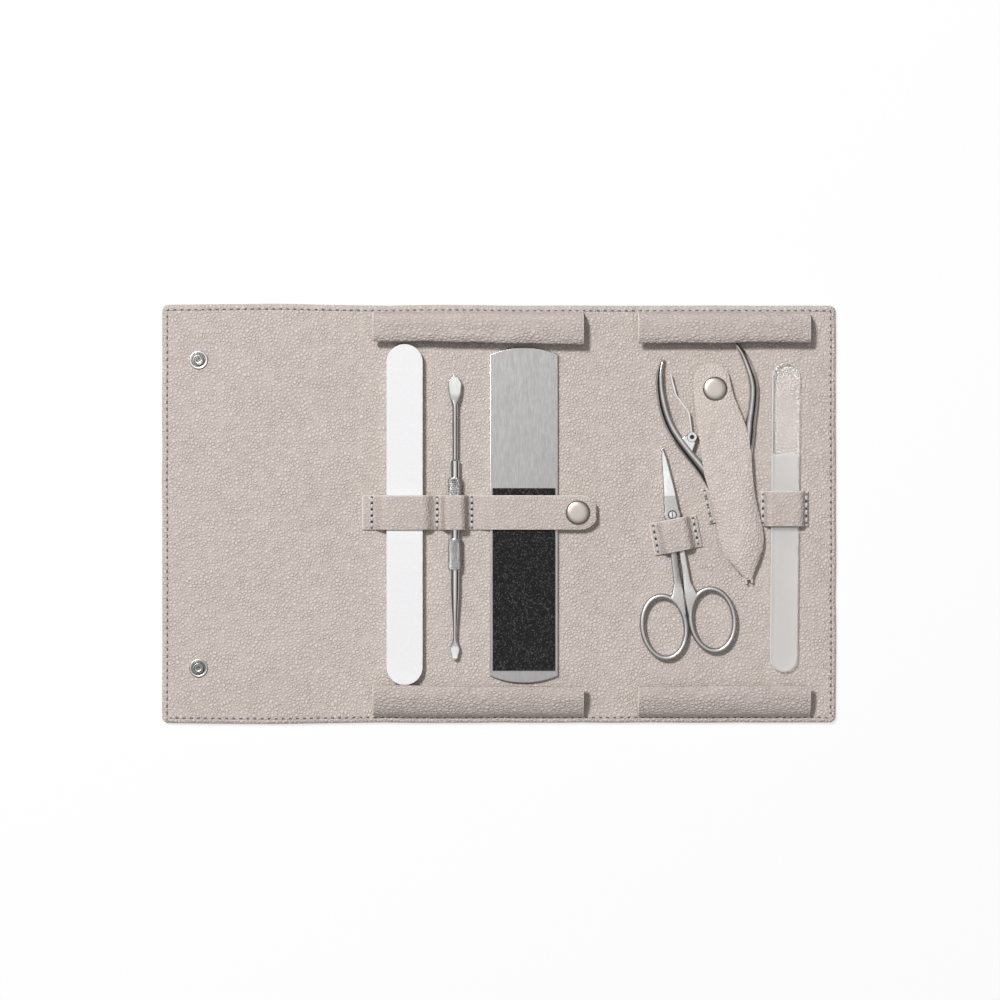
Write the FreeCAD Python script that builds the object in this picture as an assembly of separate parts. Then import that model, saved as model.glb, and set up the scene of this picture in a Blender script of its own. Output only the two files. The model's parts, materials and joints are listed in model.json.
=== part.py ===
"""Leather manicure case, lying open and flat, with its six tools in place.

Millimetres. +X runs to the right of the open case, +Y to its top edge and +Z up from the
surface it lies on. The origin is the centre of the underside.
"""
import FreeCAD
import Part
import math
import os

V = FreeCAD.Vector

# Case body; the fields with tools in them are as long and wide as the tools need
corner_radius = 4.0
cover_thickness = 1.2
interlining_thickness = 0.8
lining_thickness = 1.2
hem_width = 6.0
left_flap_length = 66.3
left_spine_width = 20.0
right_spine_width = 16.0
centre_left_margin = 1.8
centre_right_margin = 1.3
right_margin = 16.65
end_room = 0.4
crease_gap = 0.2

# Clearances
lie_gap = 0.05
loop_gap = 0.3
pin_gap = 0.03
seat_gap = 0.1
turn_gap = 0.2

# Snap fasteners
stud_flange_diameter = 8.3
stud_flange_thickness = 0.6
stud_post_diameter = 4.6
closing_post_height = 2.0
rivet_diameter = 2.6
rivet_flange_diameter = 7.0
rivet_setback = 0.3
snap_gap = 0.15
socket_diameter = 9.6
socket_roof = 0.4
cap_diameter = 10.8
cap_rim = 0.4
cap_height = 1.4
cap_shank_diameter = 3.0
eyelet_diameter = 8.0
closing_stud_inset = 16.1
closing_stud_pitch = 135.6

# End flaps: folded leather, sewn at the case edge and arched over the tool ends
flap_thickness = 2.4
flap_depth = 14.4
flap_lift = 4.9
flap_crown = 0.3
flap_rise = 3.2
flap_bend = 3.0
flap_edge_inset = 2.0
centre_flap_left_inset = 6.6
centre_flap_right_inset = 6.8
right_flap_left_inset = 0.9
right_flap_right_inset = 11.8

# Straps and loops
strap_thickness = 1.2
strap_bend = 1.6
strap_y = 0.7
strap_width = 15.2
strap_tab = 6.0
strap_seam = 1.8
strap_seam_between = 3.35
tail_flat = 2.4
tail_slope = 3.6
tail_snap_room = 8.65
tail_nose = 8.1

# Nail file
nail_file_y = -0.2
nail_file_length = 149.6
nail_file_width = 15.9
nail_file_core = 3.0
nail_file_grit = 0.5
nail_file_side_room = 1.25
nail_file_slope = 3.6

# Cuticle pusher, places along its length from the middle of the strap
pusher_grip_diameter = 5.5
pusher_waist_diameter = 3.7
pusher_neck_diameter = 3.9
pusher_shaft_diameter = 2.4
pusher_tip_diameter = 1.6
pusher_upper_grip = (2.2, 16.1)
pusher_lower_grip = (-24.6, -10.7)
pusher_collar_end = 23.5
pusher_shaft_end = 46.6
pusher_spoon_end = 60.8
pusher_spoon_width = 6.0
pusher_spoon_thickness = 1.3
pusher_neck_end = -31.6
pusher_taper_end = -54.4
pusher_spade_end = -64.1
pusher_spade_width = 4.2
pusher_spade_thickness = 1.0
pusher_overlap = 1.5
pusher_side_room = 0.8
pusher_slope = 2.3

# Foot file
foot_file_room = 5.1
foot_file_y = -0.5
foot_file_length = 147.6
foot_file_width = 30.0
foot_file_arc = 3.2
foot_file_plate_thickness = 1.6
foot_pad_width = 27.5
foot_pad_thickness = 0.8
foot_pad_end_margin = 5.5
foot_pad_length = 80.2

# Glass file
glass_file_inset = 65.55
glass_file_y = -1.35
glass_file_length = 135.9
glass_file_width = 12.2
glass_file_thickness = 3.0
glass_file_turn = -0.5
glass_loop_y = 2.4
glass_loop_width = 15.4
glass_loop_tab = 1.5
glass_loop_side_room = 0.95
glass_loop_slope = 1.7

# Scissors, measured from the pivot along their own axis
scissors_inset = 16.1
scissors_y = -0.3
scissors_turn = 8.5
scissors_half_thickness = 1.6
scissors_layer_gap = 0.04
scissors_blade_length = 30.7
scissors_blade_width = 6.8
scissors_disc_diameter = 7.4
scissors_shank_width = 3.0
scissors_shank_gap = 0.3
scissors_ring_place = (10.75, -48.2)
scissors_ring_outer = (10.5, 14.7)
scissors_ring_inner = (8.6, 12.8)
scissors_ring_round = 0.7
screw_diameter = 2.4
screw_head_diameter = 4.0
screw_head_height = 0.5
screw_slot_width = 0.5
screw_slot_depth = 0.3
scissors_loop_place = (0.2, -9.0)
scissors_loop_turn = 11.0
scissors_loop_width = 14.5
scissors_loop_room = 4.9
scissors_loop_slope = 2.4
scissors_loop_tab = 1.9

# Nippers, measured from the pivot along their own axis
nipper_inset = 45.2
nipper_y = -5.7
nipper_turn = 12.3
nipper_thickness = 3.6
nipper_layer_gap = 0.04
nipper_disc_diameter = 10.0
nipper_pin_diameter = 4.0
nipper_handle_width = 4.4
nipper_handle_bend = 7.0
nipper_handle_round = 0.9
nipper_handle_start = (3.6, 8.2)
nipper_left_handle = [(-8.3, 24.0), (-15.7, 38.5), (-20.0, 52.0), (-19.6, 67.0), (-16.3, 77.6)]
nipper_right_handle = [(7.6, 22.0), (12.2, 36.0), (18.4, 50.0), (19.3, 66.0), (16.2, 77.2)]
nipper_jaw_length = 25.2
nipper_jaw_root = 4.2
nipper_jaw_tip = 0.9
nipper_jaw_taper = 1.5
nipper_open_angle = 3.0
nipper_jaw_gap = 0.15
spring_pin_place = (-11.6, 43.0)
spring_pin_diameter = 1.6
spring_ear_diameter = 4.0
spring_leaf = 0.6
spring_bend = 4.0
spring_path = [(-10.6, 53.6), (-14.6, 62.5), (-14.9, 72.0)]

# Nipper sheath and tongue; a station gives place, wing, inside half-width and drop of the roof
sheath_stations = [
    (9.0, 10.0, 8.0, 0.0),
    (-5.0, 9.4, 6.4, 0.0),
    (-17.0, 6.5, 4.9, 0.6),
    (-23.0, 4.2, 3.4, 1.2),
]
sheath_lean = 0.2
sheath_top_end = 22.4
tongue_hinge = 23.6
tongue_snap_place = (2.7, 61.5)
tongue_nose_radius = 8.0
tongue_nose_lift = 3.0
tongue_slope = 3.5
tongue_snap_flat = 6.6
tongue_left_edge = [(-9.6, 23.0), (-7.8, 43.0)]
tongue_right_edge = [(11.4, 50.6), (13.0, 39.0), (13.4, 32.6), (12.8, 27.0), (11.2, 23.0)]

# Steps along the file strap from the left crease of the centre field
nail_file_reach = nail_file_width / 2 + nail_file_side_room + nail_file_slope
pusher_reach = pusher_grip_diameter / 2 + pusher_side_room + pusher_slope
nail_file_inset = centre_left_margin + strap_tab + nail_file_reach
pusher_inset = nail_file_inset + nail_file_reach + strap_seam_between + pusher_reach
tail_hinge_inset = pusher_inset + pusher_reach + 2 * strap_seam + strap_thickness / 2 + turn_gap
foot_file_inset = tail_hinge_inset + foot_file_room + foot_file_width / 2
strap_snap_inset = foot_file_inset + foot_file_width / 2 + tail_snap_room
tail_end_inset = strap_snap_inset + tail_nose

# Worked out from the driving sizes
centre_length = tail_end_inset + centre_right_margin
right_panel_length = glass_file_inset + glass_file_width / 2 + right_margin
case_length = left_flap_length + left_spine_width + centre_length + right_spine_width + right_panel_length
longest_tool = max(
    nail_file_length + 2 * abs(nail_file_y),
    foot_file_length + 2 * abs(foot_file_y),
    glass_file_length + 2 * abs(glass_file_y),
)
case_width = longest_tool + 2 * (end_room + flap_depth + flap_edge_inset)
x_left = -case_length / 2
x_right = case_length / 2
x_left_fold = x_left + left_flap_length
x_left_spine = x_left_fold + left_spine_width
x_right_fold = x_right - right_panel_length
x_right_spine = x_right_fold - right_spine_width
nail_file_x = x_left_spine + nail_file_inset
pusher_x = x_left_spine + pusher_inset
strap_tail_hinge_x = x_left_spine + tail_hinge_inset
foot_file_x = x_left_spine + foot_file_inset
strap_tail_end_x = x_left_spine + tail_end_inset
glass_file_x = x_right_fold + glass_file_inset
scissors_x = x_right_fold + scissors_inset
nipper_x = x_right_fold + nipper_inset
z_board = cover_thickness
z_lining = z_board + interlining_thickness
z_top = z_lining + lining_thickness
foot_file_top = lie_gap + foot_file_plate_thickness + foot_pad_thickness
strap_flat = lie_gap + strap_thickness / 2
snap_underside = foot_file_top + loop_gap + lie_gap
snap_level = snap_underside + strap_thickness / 2
snap_post_height = snap_underside - socket_roof - rivet_setback - stud_flange_thickness
closing_stud_x = x_left + closing_stud_inset
closing_socket_x = x_right_spine + x_right_fold - x_left_spine - x_left_fold + closing_stud_x
closing_y = (-closing_stud_pitch / 2, closing_stud_pitch / 2)
nipper_top = lie_gap + nipper_thickness + nipper_layer_gap
sheath_inside = nipper_top + loop_gap + lie_gap


def save(name, shape):
    """Write one piece to its own file."""
    shape.exportStep("parts/" + name + ".step")


def box(x_low, x_high, y_low, y_high, z_low, z_high):
    """Block between two corners."""
    return Part.makeBox(x_high - x_low, y_high - y_low, z_high - z_low, V(x_low, y_low, z_low))


def disc(x, y, diameter, z_low, z_high):
    """Upright cylinder."""
    return Part.makeCylinder(diameter / 2, z_high - z_low, V(x, y, z_low))


def closed_wire(points):
    """Straight-sided closed outline through 3-D points."""
    return Part.makePolygon(points + points[:1])


def prism(outline, z_low, z_high):
    """Upright solid on a straight-sided plan outline."""
    wire = closed_wire([V(x, y, z_low) for x, y in outline])
    return Part.Face(wire).extrude(V(0, 0, z_high - z_low))


def place(shape, x, y, turn):
    """Turn a piece modelled at the origin about Z and set it on the lining."""
    placed = shape.copy()
    placed.rotate(V(0, 0, 0), V(0, 0, 1), turn)
    placed.translate(V(x, y, z_top))
    return placed


def shifted_path(points, bend, shift):
    """Edges beside a path with rounded corners, in the XZ plane, with the two ends."""
    ways = [(b - a).normalize() for a, b in zip(points, points[1:])]
    sides = [V(-way.z, 0, way.x) for way in ways]
    start = points[0] + sides[0] * shift
    first = start
    edges = []
    for corner, before, after, side, next_side in zip(points[1:], ways, ways[1:], sides, sides[1:]):
        hand = math.copysign(1, before.z * -after.x + before.x * after.z)
        set_back = bend * math.tan(before.getAngle(after) / 2)
        centre = corner - before * set_back + side * (bend * hand)
        outward = (corner - centre).normalize()
        middle = centre + outward * (bend - hand * shift)
        arc_start = corner - before * set_back + side * shift
        arc_end = corner + after * set_back + next_side * shift
        edges.append(Part.LineSegment(start, arc_start).toShape())
        edges.append(Part.Arc(arc_start, middle, arc_end).toShape())
        start = arc_end
    end = points[-1] + sides[-1] * shift
    edges.append(Part.LineSegment(start, end).toShape())
    return edges, first, end


def ribbon(path, bend, thickness, width, round_start=False, round_end=False):
    """Leather or metal strip of even thickness along a side-view path, centred on Y."""
    points = [V(u, 0, v) for u, v in path]
    right_edges, right_start, right_end = shifted_path(points, bend, -thickness / 2)
    left_edges, left_start, left_end = shifted_path(points, bend, thickness / 2)
    start_way = (points[0] - points[1]).normalize()
    end_way = (points[-1] - points[-2]).normalize()

    def end_edge(a, b, middle, rounded):
        if rounded:
            return Part.Arc(a, middle, b).toShape()
        return Part.LineSegment(a, b).toShape()

    start_cap = end_edge(right_start, left_start, points[0] + start_way * (thickness / 2), round_start)
    end_cap = end_edge(right_end, left_end, points[-1] + end_way * (thickness / 2), round_end)
    edges = right_edges + [end_cap] + left_edges + [start_cap]
    face = Part.Face(Part.Wire(Part.sortEdges(edges)[0]))
    strip = face.extrude(V(0, width, 0))
    strip.translate(V(0, -width / 2, 0))
    return strip


def plan_ribbon(path, bend, width, z_low, z_high, round_end=True):
    """Bar of even width along a plan path."""
    bar = ribbon(path, bend, width, z_high - z_low, True, round_end)
    bar.rotate(V(0, 0, 0), V(1, 0, 0), -90)
    bar.translate(V(0, 0, (z_low + z_high) / 2))
    return bar


def lift_over(centre, half_width, top, side_room, slope):
    """Path points that carry a strap up, over a tool and down again."""
    reach = half_width + side_room
    high = top + loop_gap + strap_thickness / 2
    return [
        (centre - reach - slope, strap_flat),
        (centre - reach, high),
        (centre + reach, high),
        (centre + reach + slope, strap_flat),
    ]


def stadium(length, width, z_low, z_high):
    """Flat bar along Y with half-round ends."""
    run = length / 2 - width / 2
    bar = box(-width / 2, width / 2, -run, run, z_low, z_high)
    return bar.fuse([disc(0, -run, width, z_low, z_high), disc(0, run, width, z_low, z_high)]).removeSplitter()


def turned(profile):
    """Solid of revolution about Z from (radius, height) points."""
    wire = closed_wire([V(r, 0, z) for r, z in profile])
    return Part.Face(wire).revolve(V(0, 0, 0), V(0, 0, 1), 360)


def case_field(low, high, z_low, z_high, inset):
    """Slab over one field of the case, set in from the outer edges by inset."""
    x_low = low + (inset if low == x_left else crease_gap / 2)
    x_high = high - (inset if high == x_right else crease_gap / 2)
    half = case_width / 2 - inset
    slab = box(x_low, x_high, -half, half, z_low, z_high)
    radius = corner_radius - inset
    outer = [x_left, x_right]
    corners = [
        edge
        for edge in slab.Edges
        if abs(edge.tangentAt(0).z) > 0.5 and edge.CenterOfMass.x in outer
    ]
    if corners and radius > 0:
        slab = slab.makeFillet(radius, corners)
    return slab


def stud(x, y, post_height):
    """Snap stud: a flange on the lining and a hollow post."""
    flange = disc(x, y, stud_flange_diameter, z_top, z_top + stud_flange_thickness)
    post_top = z_top + stud_flange_thickness + post_height
    post = disc(x, y, stud_post_diameter, z_top, post_top)
    bore = disc(x, y, rivet_diameter, z_top, post_top)
    return flange.fuse(post).cut(bore).removeSplitter()


def stud_rivet(x, y, post_height):
    """Rivet that holds a stud: its head lies under the lining, in the interlining."""
    head = disc(x, y, rivet_flange_diameter, z_board, z_lining)
    shank_top = z_top + stud_flange_thickness + post_height - rivet_setback
    return head.fuse(disc(x, y, rivet_diameter, z_lining, shank_top)).removeSplitter()


def stud_holes(shape, places, diameter):
    """Clear round holes through a leather or the interlining."""
    holes = [disc(x, y, diameter + 2 * seat_gap, 0, z_top) for x, y in places]
    return shape.cut(holes)


def snap_cap(x, y):
    """Domed cap on top of a strap, with its shank through the leather."""
    radius = cap_diameter / 2
    shank = cap_shank_diameter / 2
    crown = [(radius * math.cos(a), cap_rim + (cap_height - cap_rim) * math.sin(a)) for a in
             [math.radians(step * 15) for step in range(6)]]
    profile = [(0, -strap_thickness), (shank, -strap_thickness), (shank, 0), (radius, 0)]
    cap = turned(profile + crown + [(0, cap_height)])
    cap.translate(V(x, y, z_top + snap_underside + strap_thickness))
    return cap


def snap_socket(x, y):
    """Cup under a strap that clips over the stud."""
    low = z_top + stud_flange_thickness + turn_gap
    high = z_top + snap_underside
    cup = disc(x, y, socket_diameter, low, high)
    return cup.cut(disc(x, y, stud_post_diameter + 2 * snap_gap, low, high - socket_roof))


def cap_hole(x, y):
    """Cutter for the cap's shank."""
    low = z_top + snap_underside
    return disc(x, y, cap_shank_diameter + 2 * seat_gap, low, low + strap_thickness)


fields = {
    "left_flap": (x_left, x_left_fold),
    "left_spine": (x_left_fold, x_left_spine),
    "centre": (x_left_spine, x_right_spine),
    "right_spine": (x_right_spine, x_right_fold),
    "right_panel": (x_right_fold, x_right),
}


def tongue_point(u, v):
    """Case position of a point given from the nipper pivot along the nippers' axis."""
    angle = math.radians(nipper_turn)
    return (
        nipper_x + u * math.cos(angle) - v * math.sin(angle),
        nipper_y + u * math.sin(angle) + v * math.cos(angle),
    )


strap_snap = (x_left_spine + strap_snap_inset, strap_y)
tongue_snap = tongue_point(*tongue_snap_place)
closing_studs = [(closing_stud_x, y) for y in closing_y]
closing_sockets = [(closing_socket_x, y) for y in closing_y]
stud_places = {"left_flap": closing_studs, "centre": [strap_snap], "right_panel": [tongue_snap]}


def case_body():
    """Cover with its turned hem, interlining and lining of every field."""
    for name, (low, high) in fields.items():
        cover = case_field(low, high, 0, z_lining, 0)
        board = case_field(low, high, z_board, z_lining, hem_width)
        lining = case_field(low, high, z_lining, z_top, 0)
        cover = cover.cut(board)
        places = stud_places.get(name, [])
        if places:
            board = stud_holes(board, places, rivet_flange_diameter)
            lining = stud_holes(lining, places, rivet_diameter)
        if name == "right_panel":
            cover = stud_holes(cover, closing_sockets, socket_diameter)
            board = stud_holes(board, closing_sockets, eyelet_diameter)
        save("cover_" + name, cover)
        save("interlining_" + name, board)
        save("lining_" + name, lining)


def closing_snaps():
    """Two studs inside the left flap and the two sockets behind the right panel."""
    save("closing_studs", Part.makeCompound([stud(x, y, closing_post_height) for x, y in closing_studs]))
    rivets = [stud_rivet(x, y, closing_post_height) for x, y in closing_studs]
    save("closing_stud_rivets", Part.makeCompound(rivets))
    bore = stud_post_diameter + 2 * snap_gap
    sockets = []
    eyelets = []
    for x, y in closing_sockets:
        sockets.append(disc(x, y, socket_diameter, 0, z_board).cut(disc(x, y, bore, 0, z_board)))
        eyelets.append(disc(x, y, eyelet_diameter, z_board, z_lining).cut(disc(x, y, bore, z_board, z_lining)))
    save("closing_sockets", Part.makeCompound(sockets))
    save("closing_socket_eyelets", Part.makeCompound(eyelets))


def strap_snaps(prefix, x, y):
    """The four pieces of one snap on a strap."""
    save(prefix + "_cap", snap_cap(x, y))
    save(prefix + "_socket", snap_socket(x, y))
    save(prefix + "_stud", stud(x, y, snap_post_height))
    save(prefix + "_rivet", stud_rivet(x, y, snap_post_height))


def end_flaps():
    """Four arched flaps over the tool ends, rounded about the seam they turn on."""
    root = (0, lie_gap + flap_thickness / 2)
    level = flap_lift + flap_thickness / 2
    shoulder = (flap_rise, level + flap_crown)
    nose = (flap_depth - flap_thickness, level)
    seam_y = case_width / 2 - flap_edge_inset - flap_thickness / 2
    spans = {
        "centre": (x_left_spine + centre_flap_left_inset, x_right_spine - centre_flap_right_inset),
        "right": (x_right_fold + right_flap_left_inset, x_right - right_flap_right_inset),
    }
    for name, (low, high) in spans.items():
        flap = ribbon([root, shoulder, nose], flap_bend, flap_thickness, high - low, True, True)
        middle = (low + high) / 2
        save("end_flap_top_" + name, place(flap, middle, seam_y, -90))
        save("end_flap_bottom_" + name, place(flap, middle, -seam_y, 90))


def file_strap():
    """Sewn strap with a loop over the nail file and one over the pusher, and its free tail."""
    file_top = lie_gap + nail_file_core + 2 * nail_file_grit
    over_file = lift_over(nail_file_x, nail_file_width / 2, file_top, nail_file_side_room, nail_file_slope)
    grip = pusher_grip_diameter
    over_pusher = lift_over(pusher_x, grip / 2, lie_gap + grip, pusher_side_room, pusher_slope)
    start = (over_file[0][0] - strap_tab, strap_flat)
    end = (strap_tail_hinge_x - strap_thickness / 2 - turn_gap, strap_flat)
    strap = ribbon([start] + over_file + over_pusher + [end], strap_bend, strap_thickness, strap_width)
    save("file_strap", place(strap, 0, strap_y, 0))

    climb = strap_tail_hinge_x + tail_flat
    path = [
        (strap_tail_hinge_x, strap_flat),
        (climb, strap_flat),
        (climb + tail_slope, snap_level),
        (strap_tail_end_x, snap_level),
    ]
    tail = place(ribbon(path, strap_bend, strap_thickness, strap_width, True), 0, strap_y, 0)
    nose_x = strap_tail_end_x - strap_width / 2
    low = strap_tail_hinge_x - strap_thickness
    half = strap_width / 2
    outline = box(low, nose_x, strap_y - half, strap_y + half, z_top, z_top + snap_level + strap_thickness)
    outline = outline.fuse(disc(nose_x, strap_y, strap_width, z_top, z_top + snap_level + strap_thickness))
    save("file_strap_tail", tail.common(outline).cut(cap_hole(*strap_snap)).removeSplitter())


def nail_file():
    """Foam core with a grit sheet on each face."""
    level = lie_gap
    for name, thickness in (("back_grit", nail_file_grit), ("core", nail_file_core), ("front_grit", nail_file_grit)):
        layer = stadium(nail_file_length, nail_file_width, level, level + thickness)
        save("nail_file_" + name, place(layer, nail_file_x, nail_file_y, 0))
        level += thickness


def pusher_tip(root, end, width, root_width, thickness):
    """Flat leaf-shaped tip along Y, widest two thirds of the way out."""
    belly = root + (end - root) * 0.66
    sign = math.copysign(1, end - root)
    side = [V(root_width / 2, root, 0), V(width / 2, belly, 0), V(width * 0.3, end - sign * width * 0.12, 0)]
    right = Part.BSplineCurve()
    right.interpolate(side)
    left = Part.BSplineCurve()
    left.interpolate([V(-p.x, p.y, 0) for p in side])
    nose = Part.Arc(side[-1], V(0, end, 0), V(-side[-1].x, side[-1].y, 0))
    base = Part.LineSegment(side[0], V(-side[0].x, root, 0))
    edges = [curve.toShape() for curve in (right, nose, left, base)]
    leaf = Part.Face(Part.Wire(Part.sortEdges(edges)[0])).extrude(V(0, 0, thickness))
    leaf.translate(V(0, 0, -thickness / 2))
    return leaf


def cuticle_pusher():
    """Turned bar with two knurled grips, a broad spoon and a narrow spade."""
    grip = pusher_grip_diameter / 2
    neck = pusher_neck_diameter / 2
    waist = pusher_waist_diameter / 2
    shaft = pusher_shaft_diameter / 2
    stations = [
        (pusher_tip_diameter / 2, pusher_taper_end),
        (neck, pusher_neck_end),
        (neck, pusher_lower_grip[0]),
        (grip, pusher_lower_grip[0]),
        (grip, pusher_lower_grip[1]),
        (waist, pusher_lower_grip[1]),
        (waist, pusher_upper_grip[0]),
        (grip, pusher_upper_grip[0]),
        (grip, pusher_upper_grip[1]),
        (neck, pusher_upper_grip[1]),
        (neck, pusher_collar_end),
        (shaft, pusher_collar_end),
        (shaft, pusher_shaft_end),
    ]
    bar = turned([(0, pusher_taper_end)] + stations + [(0, pusher_shaft_end)])
    bar.rotate(V(0, 0, 0), V(1, 0, 0), -90)
    spoon = pusher_tip(
        pusher_shaft_end - pusher_overlap, pusher_spoon_end, pusher_spoon_width,
        pusher_shaft_diameter, pusher_spoon_thickness,
    )
    spade = pusher_tip(
        pusher_taper_end + pusher_overlap, pusher_spade_end, pusher_spade_width,
        pusher_tip_diameter, pusher_spade_thickness,
    )
    tool = bar.fuse([spoon, spade]).removeSplitter()
    tool.translate(V(0, 0, lie_gap + grip))
    save("cuticle_pusher", place(tool, pusher_x, 0, 0))


def arc_ended(width, low, high, low_arc, high_arc, z_low, z_high):
    """Flat bar along Y whose ends bow outward by the given rises; 0 is square."""
    half = width / 2
    corners = [V(half, low + low_arc, 0), V(half, high - high_arc, 0)]
    mirrored = [V(-half, p.y, 0) for p in corners]

    def end_edge(a, b, tip_y, rise):
        if rise > 0:
            return Part.Arc(a, V(0, tip_y, 0), b).toShape()
        return Part.LineSegment(a, b).toShape()

    edges = [
        Part.LineSegment(*corners).toShape(),
        end_edge(corners[1], mirrored[1], high, high_arc),
        Part.LineSegment(mirrored[1], mirrored[0]).toShape(),
        end_edge(mirrored[0], corners[0], low, low_arc),
    ]
    bar = Part.Face(Part.Wire(edges)).extrude(V(0, 0, z_high - z_low))
    bar.translate(V(0, 0, z_low))
    return bar


def foot_file():
    """Steel paddle with a grit pad on its lower half."""
    half = foot_file_length / 2
    plate_top = lie_gap + foot_file_plate_thickness
    plate = arc_ended(foot_file_width, -half, half, foot_file_arc, foot_file_arc, lie_gap, plate_top)
    pad_low = -half + foot_pad_end_margin
    pad = arc_ended(
        foot_pad_width, pad_low, pad_low + foot_pad_length, foot_file_arc, 0,
        plate_top, plate_top + foot_pad_thickness,
    )
    save("foot_file_plate", place(plate, foot_file_x, foot_file_y, 0))
    save("foot_file_pad", place(pad, foot_file_x, foot_file_y, 0))


def glass_file():
    """Clear glass file and the loop that holds it."""
    top = lie_gap + glass_file_thickness
    blade = stadium(glass_file_length, glass_file_width, lie_gap, top)
    save("glass_file", place(blade, glass_file_x, glass_file_y, glass_file_turn))
    path = lift_over(0, glass_file_width / 2, top, glass_loop_side_room, glass_loop_slope)
    start = (path[0][0] - glass_loop_tab, strap_flat)
    end = (path[-1][0] + glass_loop_tab, strap_flat)
    loop = ribbon([start] + path + [end], strap_bend, strap_thickness, glass_loop_width)
    save("glass_file_loop", place(loop, glass_file_x, glass_loop_y, glass_file_turn))


def ellipse_prism(place_uv, half_axes, z_low, z_high):
    """Upright solid on an ellipse that is longer along Y."""
    curve = Part.Ellipse(V(0, half_axes[1], 0), V(half_axes[0], 0, 0), V(0, 0, 0))
    solid = Part.Face(Part.Wire(curve.toShape())).extrude(V(0, 0, z_high - z_low))
    solid.translate(V(place_uv[0], place_uv[1], z_low))
    return solid


def scissors_half(layer_low, side):
    """One scissors half: a blade in its own layer, and a full-depth shank and finger ring."""
    layer_high = layer_low + scissors_half_thickness
    low = lie_gap
    high = lie_gap + 2 * scissors_half_thickness + scissors_layer_gap
    half = scissors_blade_width / 2
    length = scissors_blade_length
    blade = prism(
        [
            (0.0, length),
            (half * 0.35, length * 0.83),
            (half * 0.8, length * 0.36),
            (half, 0),
            (-half, 0),
            (-half * 0.7, length * 0.36),
            (-half * 0.3, length * 0.85),
        ],
        layer_low,
        layer_high,
    )
    hub = disc(0, 0, scissors_disc_diameter, layer_low, layer_high)
    inner = scissors_shank_gap / 2
    outer = inner + scissors_shank_width
    start = -scissors_disc_diameter / 2 - scissors_shank_gap * 2
    ring_u, ring_v = scissors_ring_place
    ring_a, ring_b = scissors_ring_outer
    ring = ellipse_prism(scissors_ring_place, scissors_ring_outer, low, high)
    finger = ellipse_prism(scissors_ring_place, scissors_ring_inner, low, high)
    ring = ring.cut(finger)
    ring = ring.makeFillet(scissors_ring_round, [edge for edge in ring.Edges if len(edge.Vertexes) == 1])
    neck = prism([(inner, 0), (half, 0), (outer, start), (inner, start)], layer_low, layer_high)
    swell = scissors_shank_width * 0.2
    shank = prism(
        [
            (inner, start),
            (outer, start),
            (outer, ring_v * 0.3),
            (outer + swell, ring_v * 0.62),
            (ring_u - ring_a * 0.5, ring_v + ring_b * 0.866),
            (ring_u - ring_a * 0.9, ring_v + ring_b * 0.4),
            (inner + scissors_shank_gap, ring_v + ring_b * 0.25),
            (inner, ring_v + ring_b * 0.7),
        ],
        low,
        high,
    )
    arm = neck.fuse([shank.cut(finger), ring])
    if side < 0:
        arm = arm.mirror(V(0, 0, 0), V(1, 0, 0))
    body = hub.fuse([blade, arm]).removeSplitter()
    return body.cut(disc(0, 0, screw_diameter + 2 * pin_gap, low, high))


def scissors():
    """Nail scissors on a slotted screw, and the loop over their shanks."""
    lower_level = lie_gap
    upper_level = lie_gap + scissors_half_thickness + scissors_layer_gap
    top = upper_level + scissors_half_thickness
    lower = scissors_half(lower_level, -1)
    upper = scissors_half(upper_level, 1)
    head_top = top + lie_gap + screw_head_height
    screw = disc(0, 0, screw_diameter, lower_level, top + lie_gap)
    screw = screw.fuse(disc(0, 0, screw_head_diameter, top + lie_gap, head_top)).removeSplitter()
    reach = screw_head_diameter
    half_slot = screw_slot_width / 2
    screw = screw.cut(box(-reach, reach, -half_slot, half_slot, head_top - screw_slot_depth, head_top))
    for name, piece in (("lower_half", lower), ("upper_half", upper), ("screw", screw)):
        save("scissors_" + name, place(piece, scissors_x, scissors_y, scissors_turn))

    path = lift_over(0, 0, head_top, scissors_loop_room, scissors_loop_slope)
    start = (path[0][0] - scissors_loop_tab, strap_flat)
    end = (path[-1][0] + scissors_loop_tab, strap_flat)
    loop = ribbon([start] + path + [end], strap_bend, strap_thickness, scissors_loop_width)
    angle = math.radians(scissors_turn)
    loop_u, loop_v = scissors_loop_place
    loop_x = scissors_x + loop_u * math.cos(angle) - loop_v * math.sin(angle)
    loop_y = scissors_y + loop_u * math.sin(angle) + loop_v * math.cos(angle)
    save("scissors_loop", place(loop, loop_x, loop_y, scissors_loop_turn))


def jaw_taper(top):
    """Cutter that thins the jaws towards their tip."""
    length = nipper_jaw_length
    reach = nipper_jaw_root * 3
    side = [
        V(-reach, -length * 0.3, top),
        V(-reach, -length * 1.2, top),
        V(-reach, -length * 1.2, top - nipper_jaw_taper),
    ]
    return Part.Face(closed_wire(side)).extrude(V(2 * reach, 0, 0))


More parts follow.
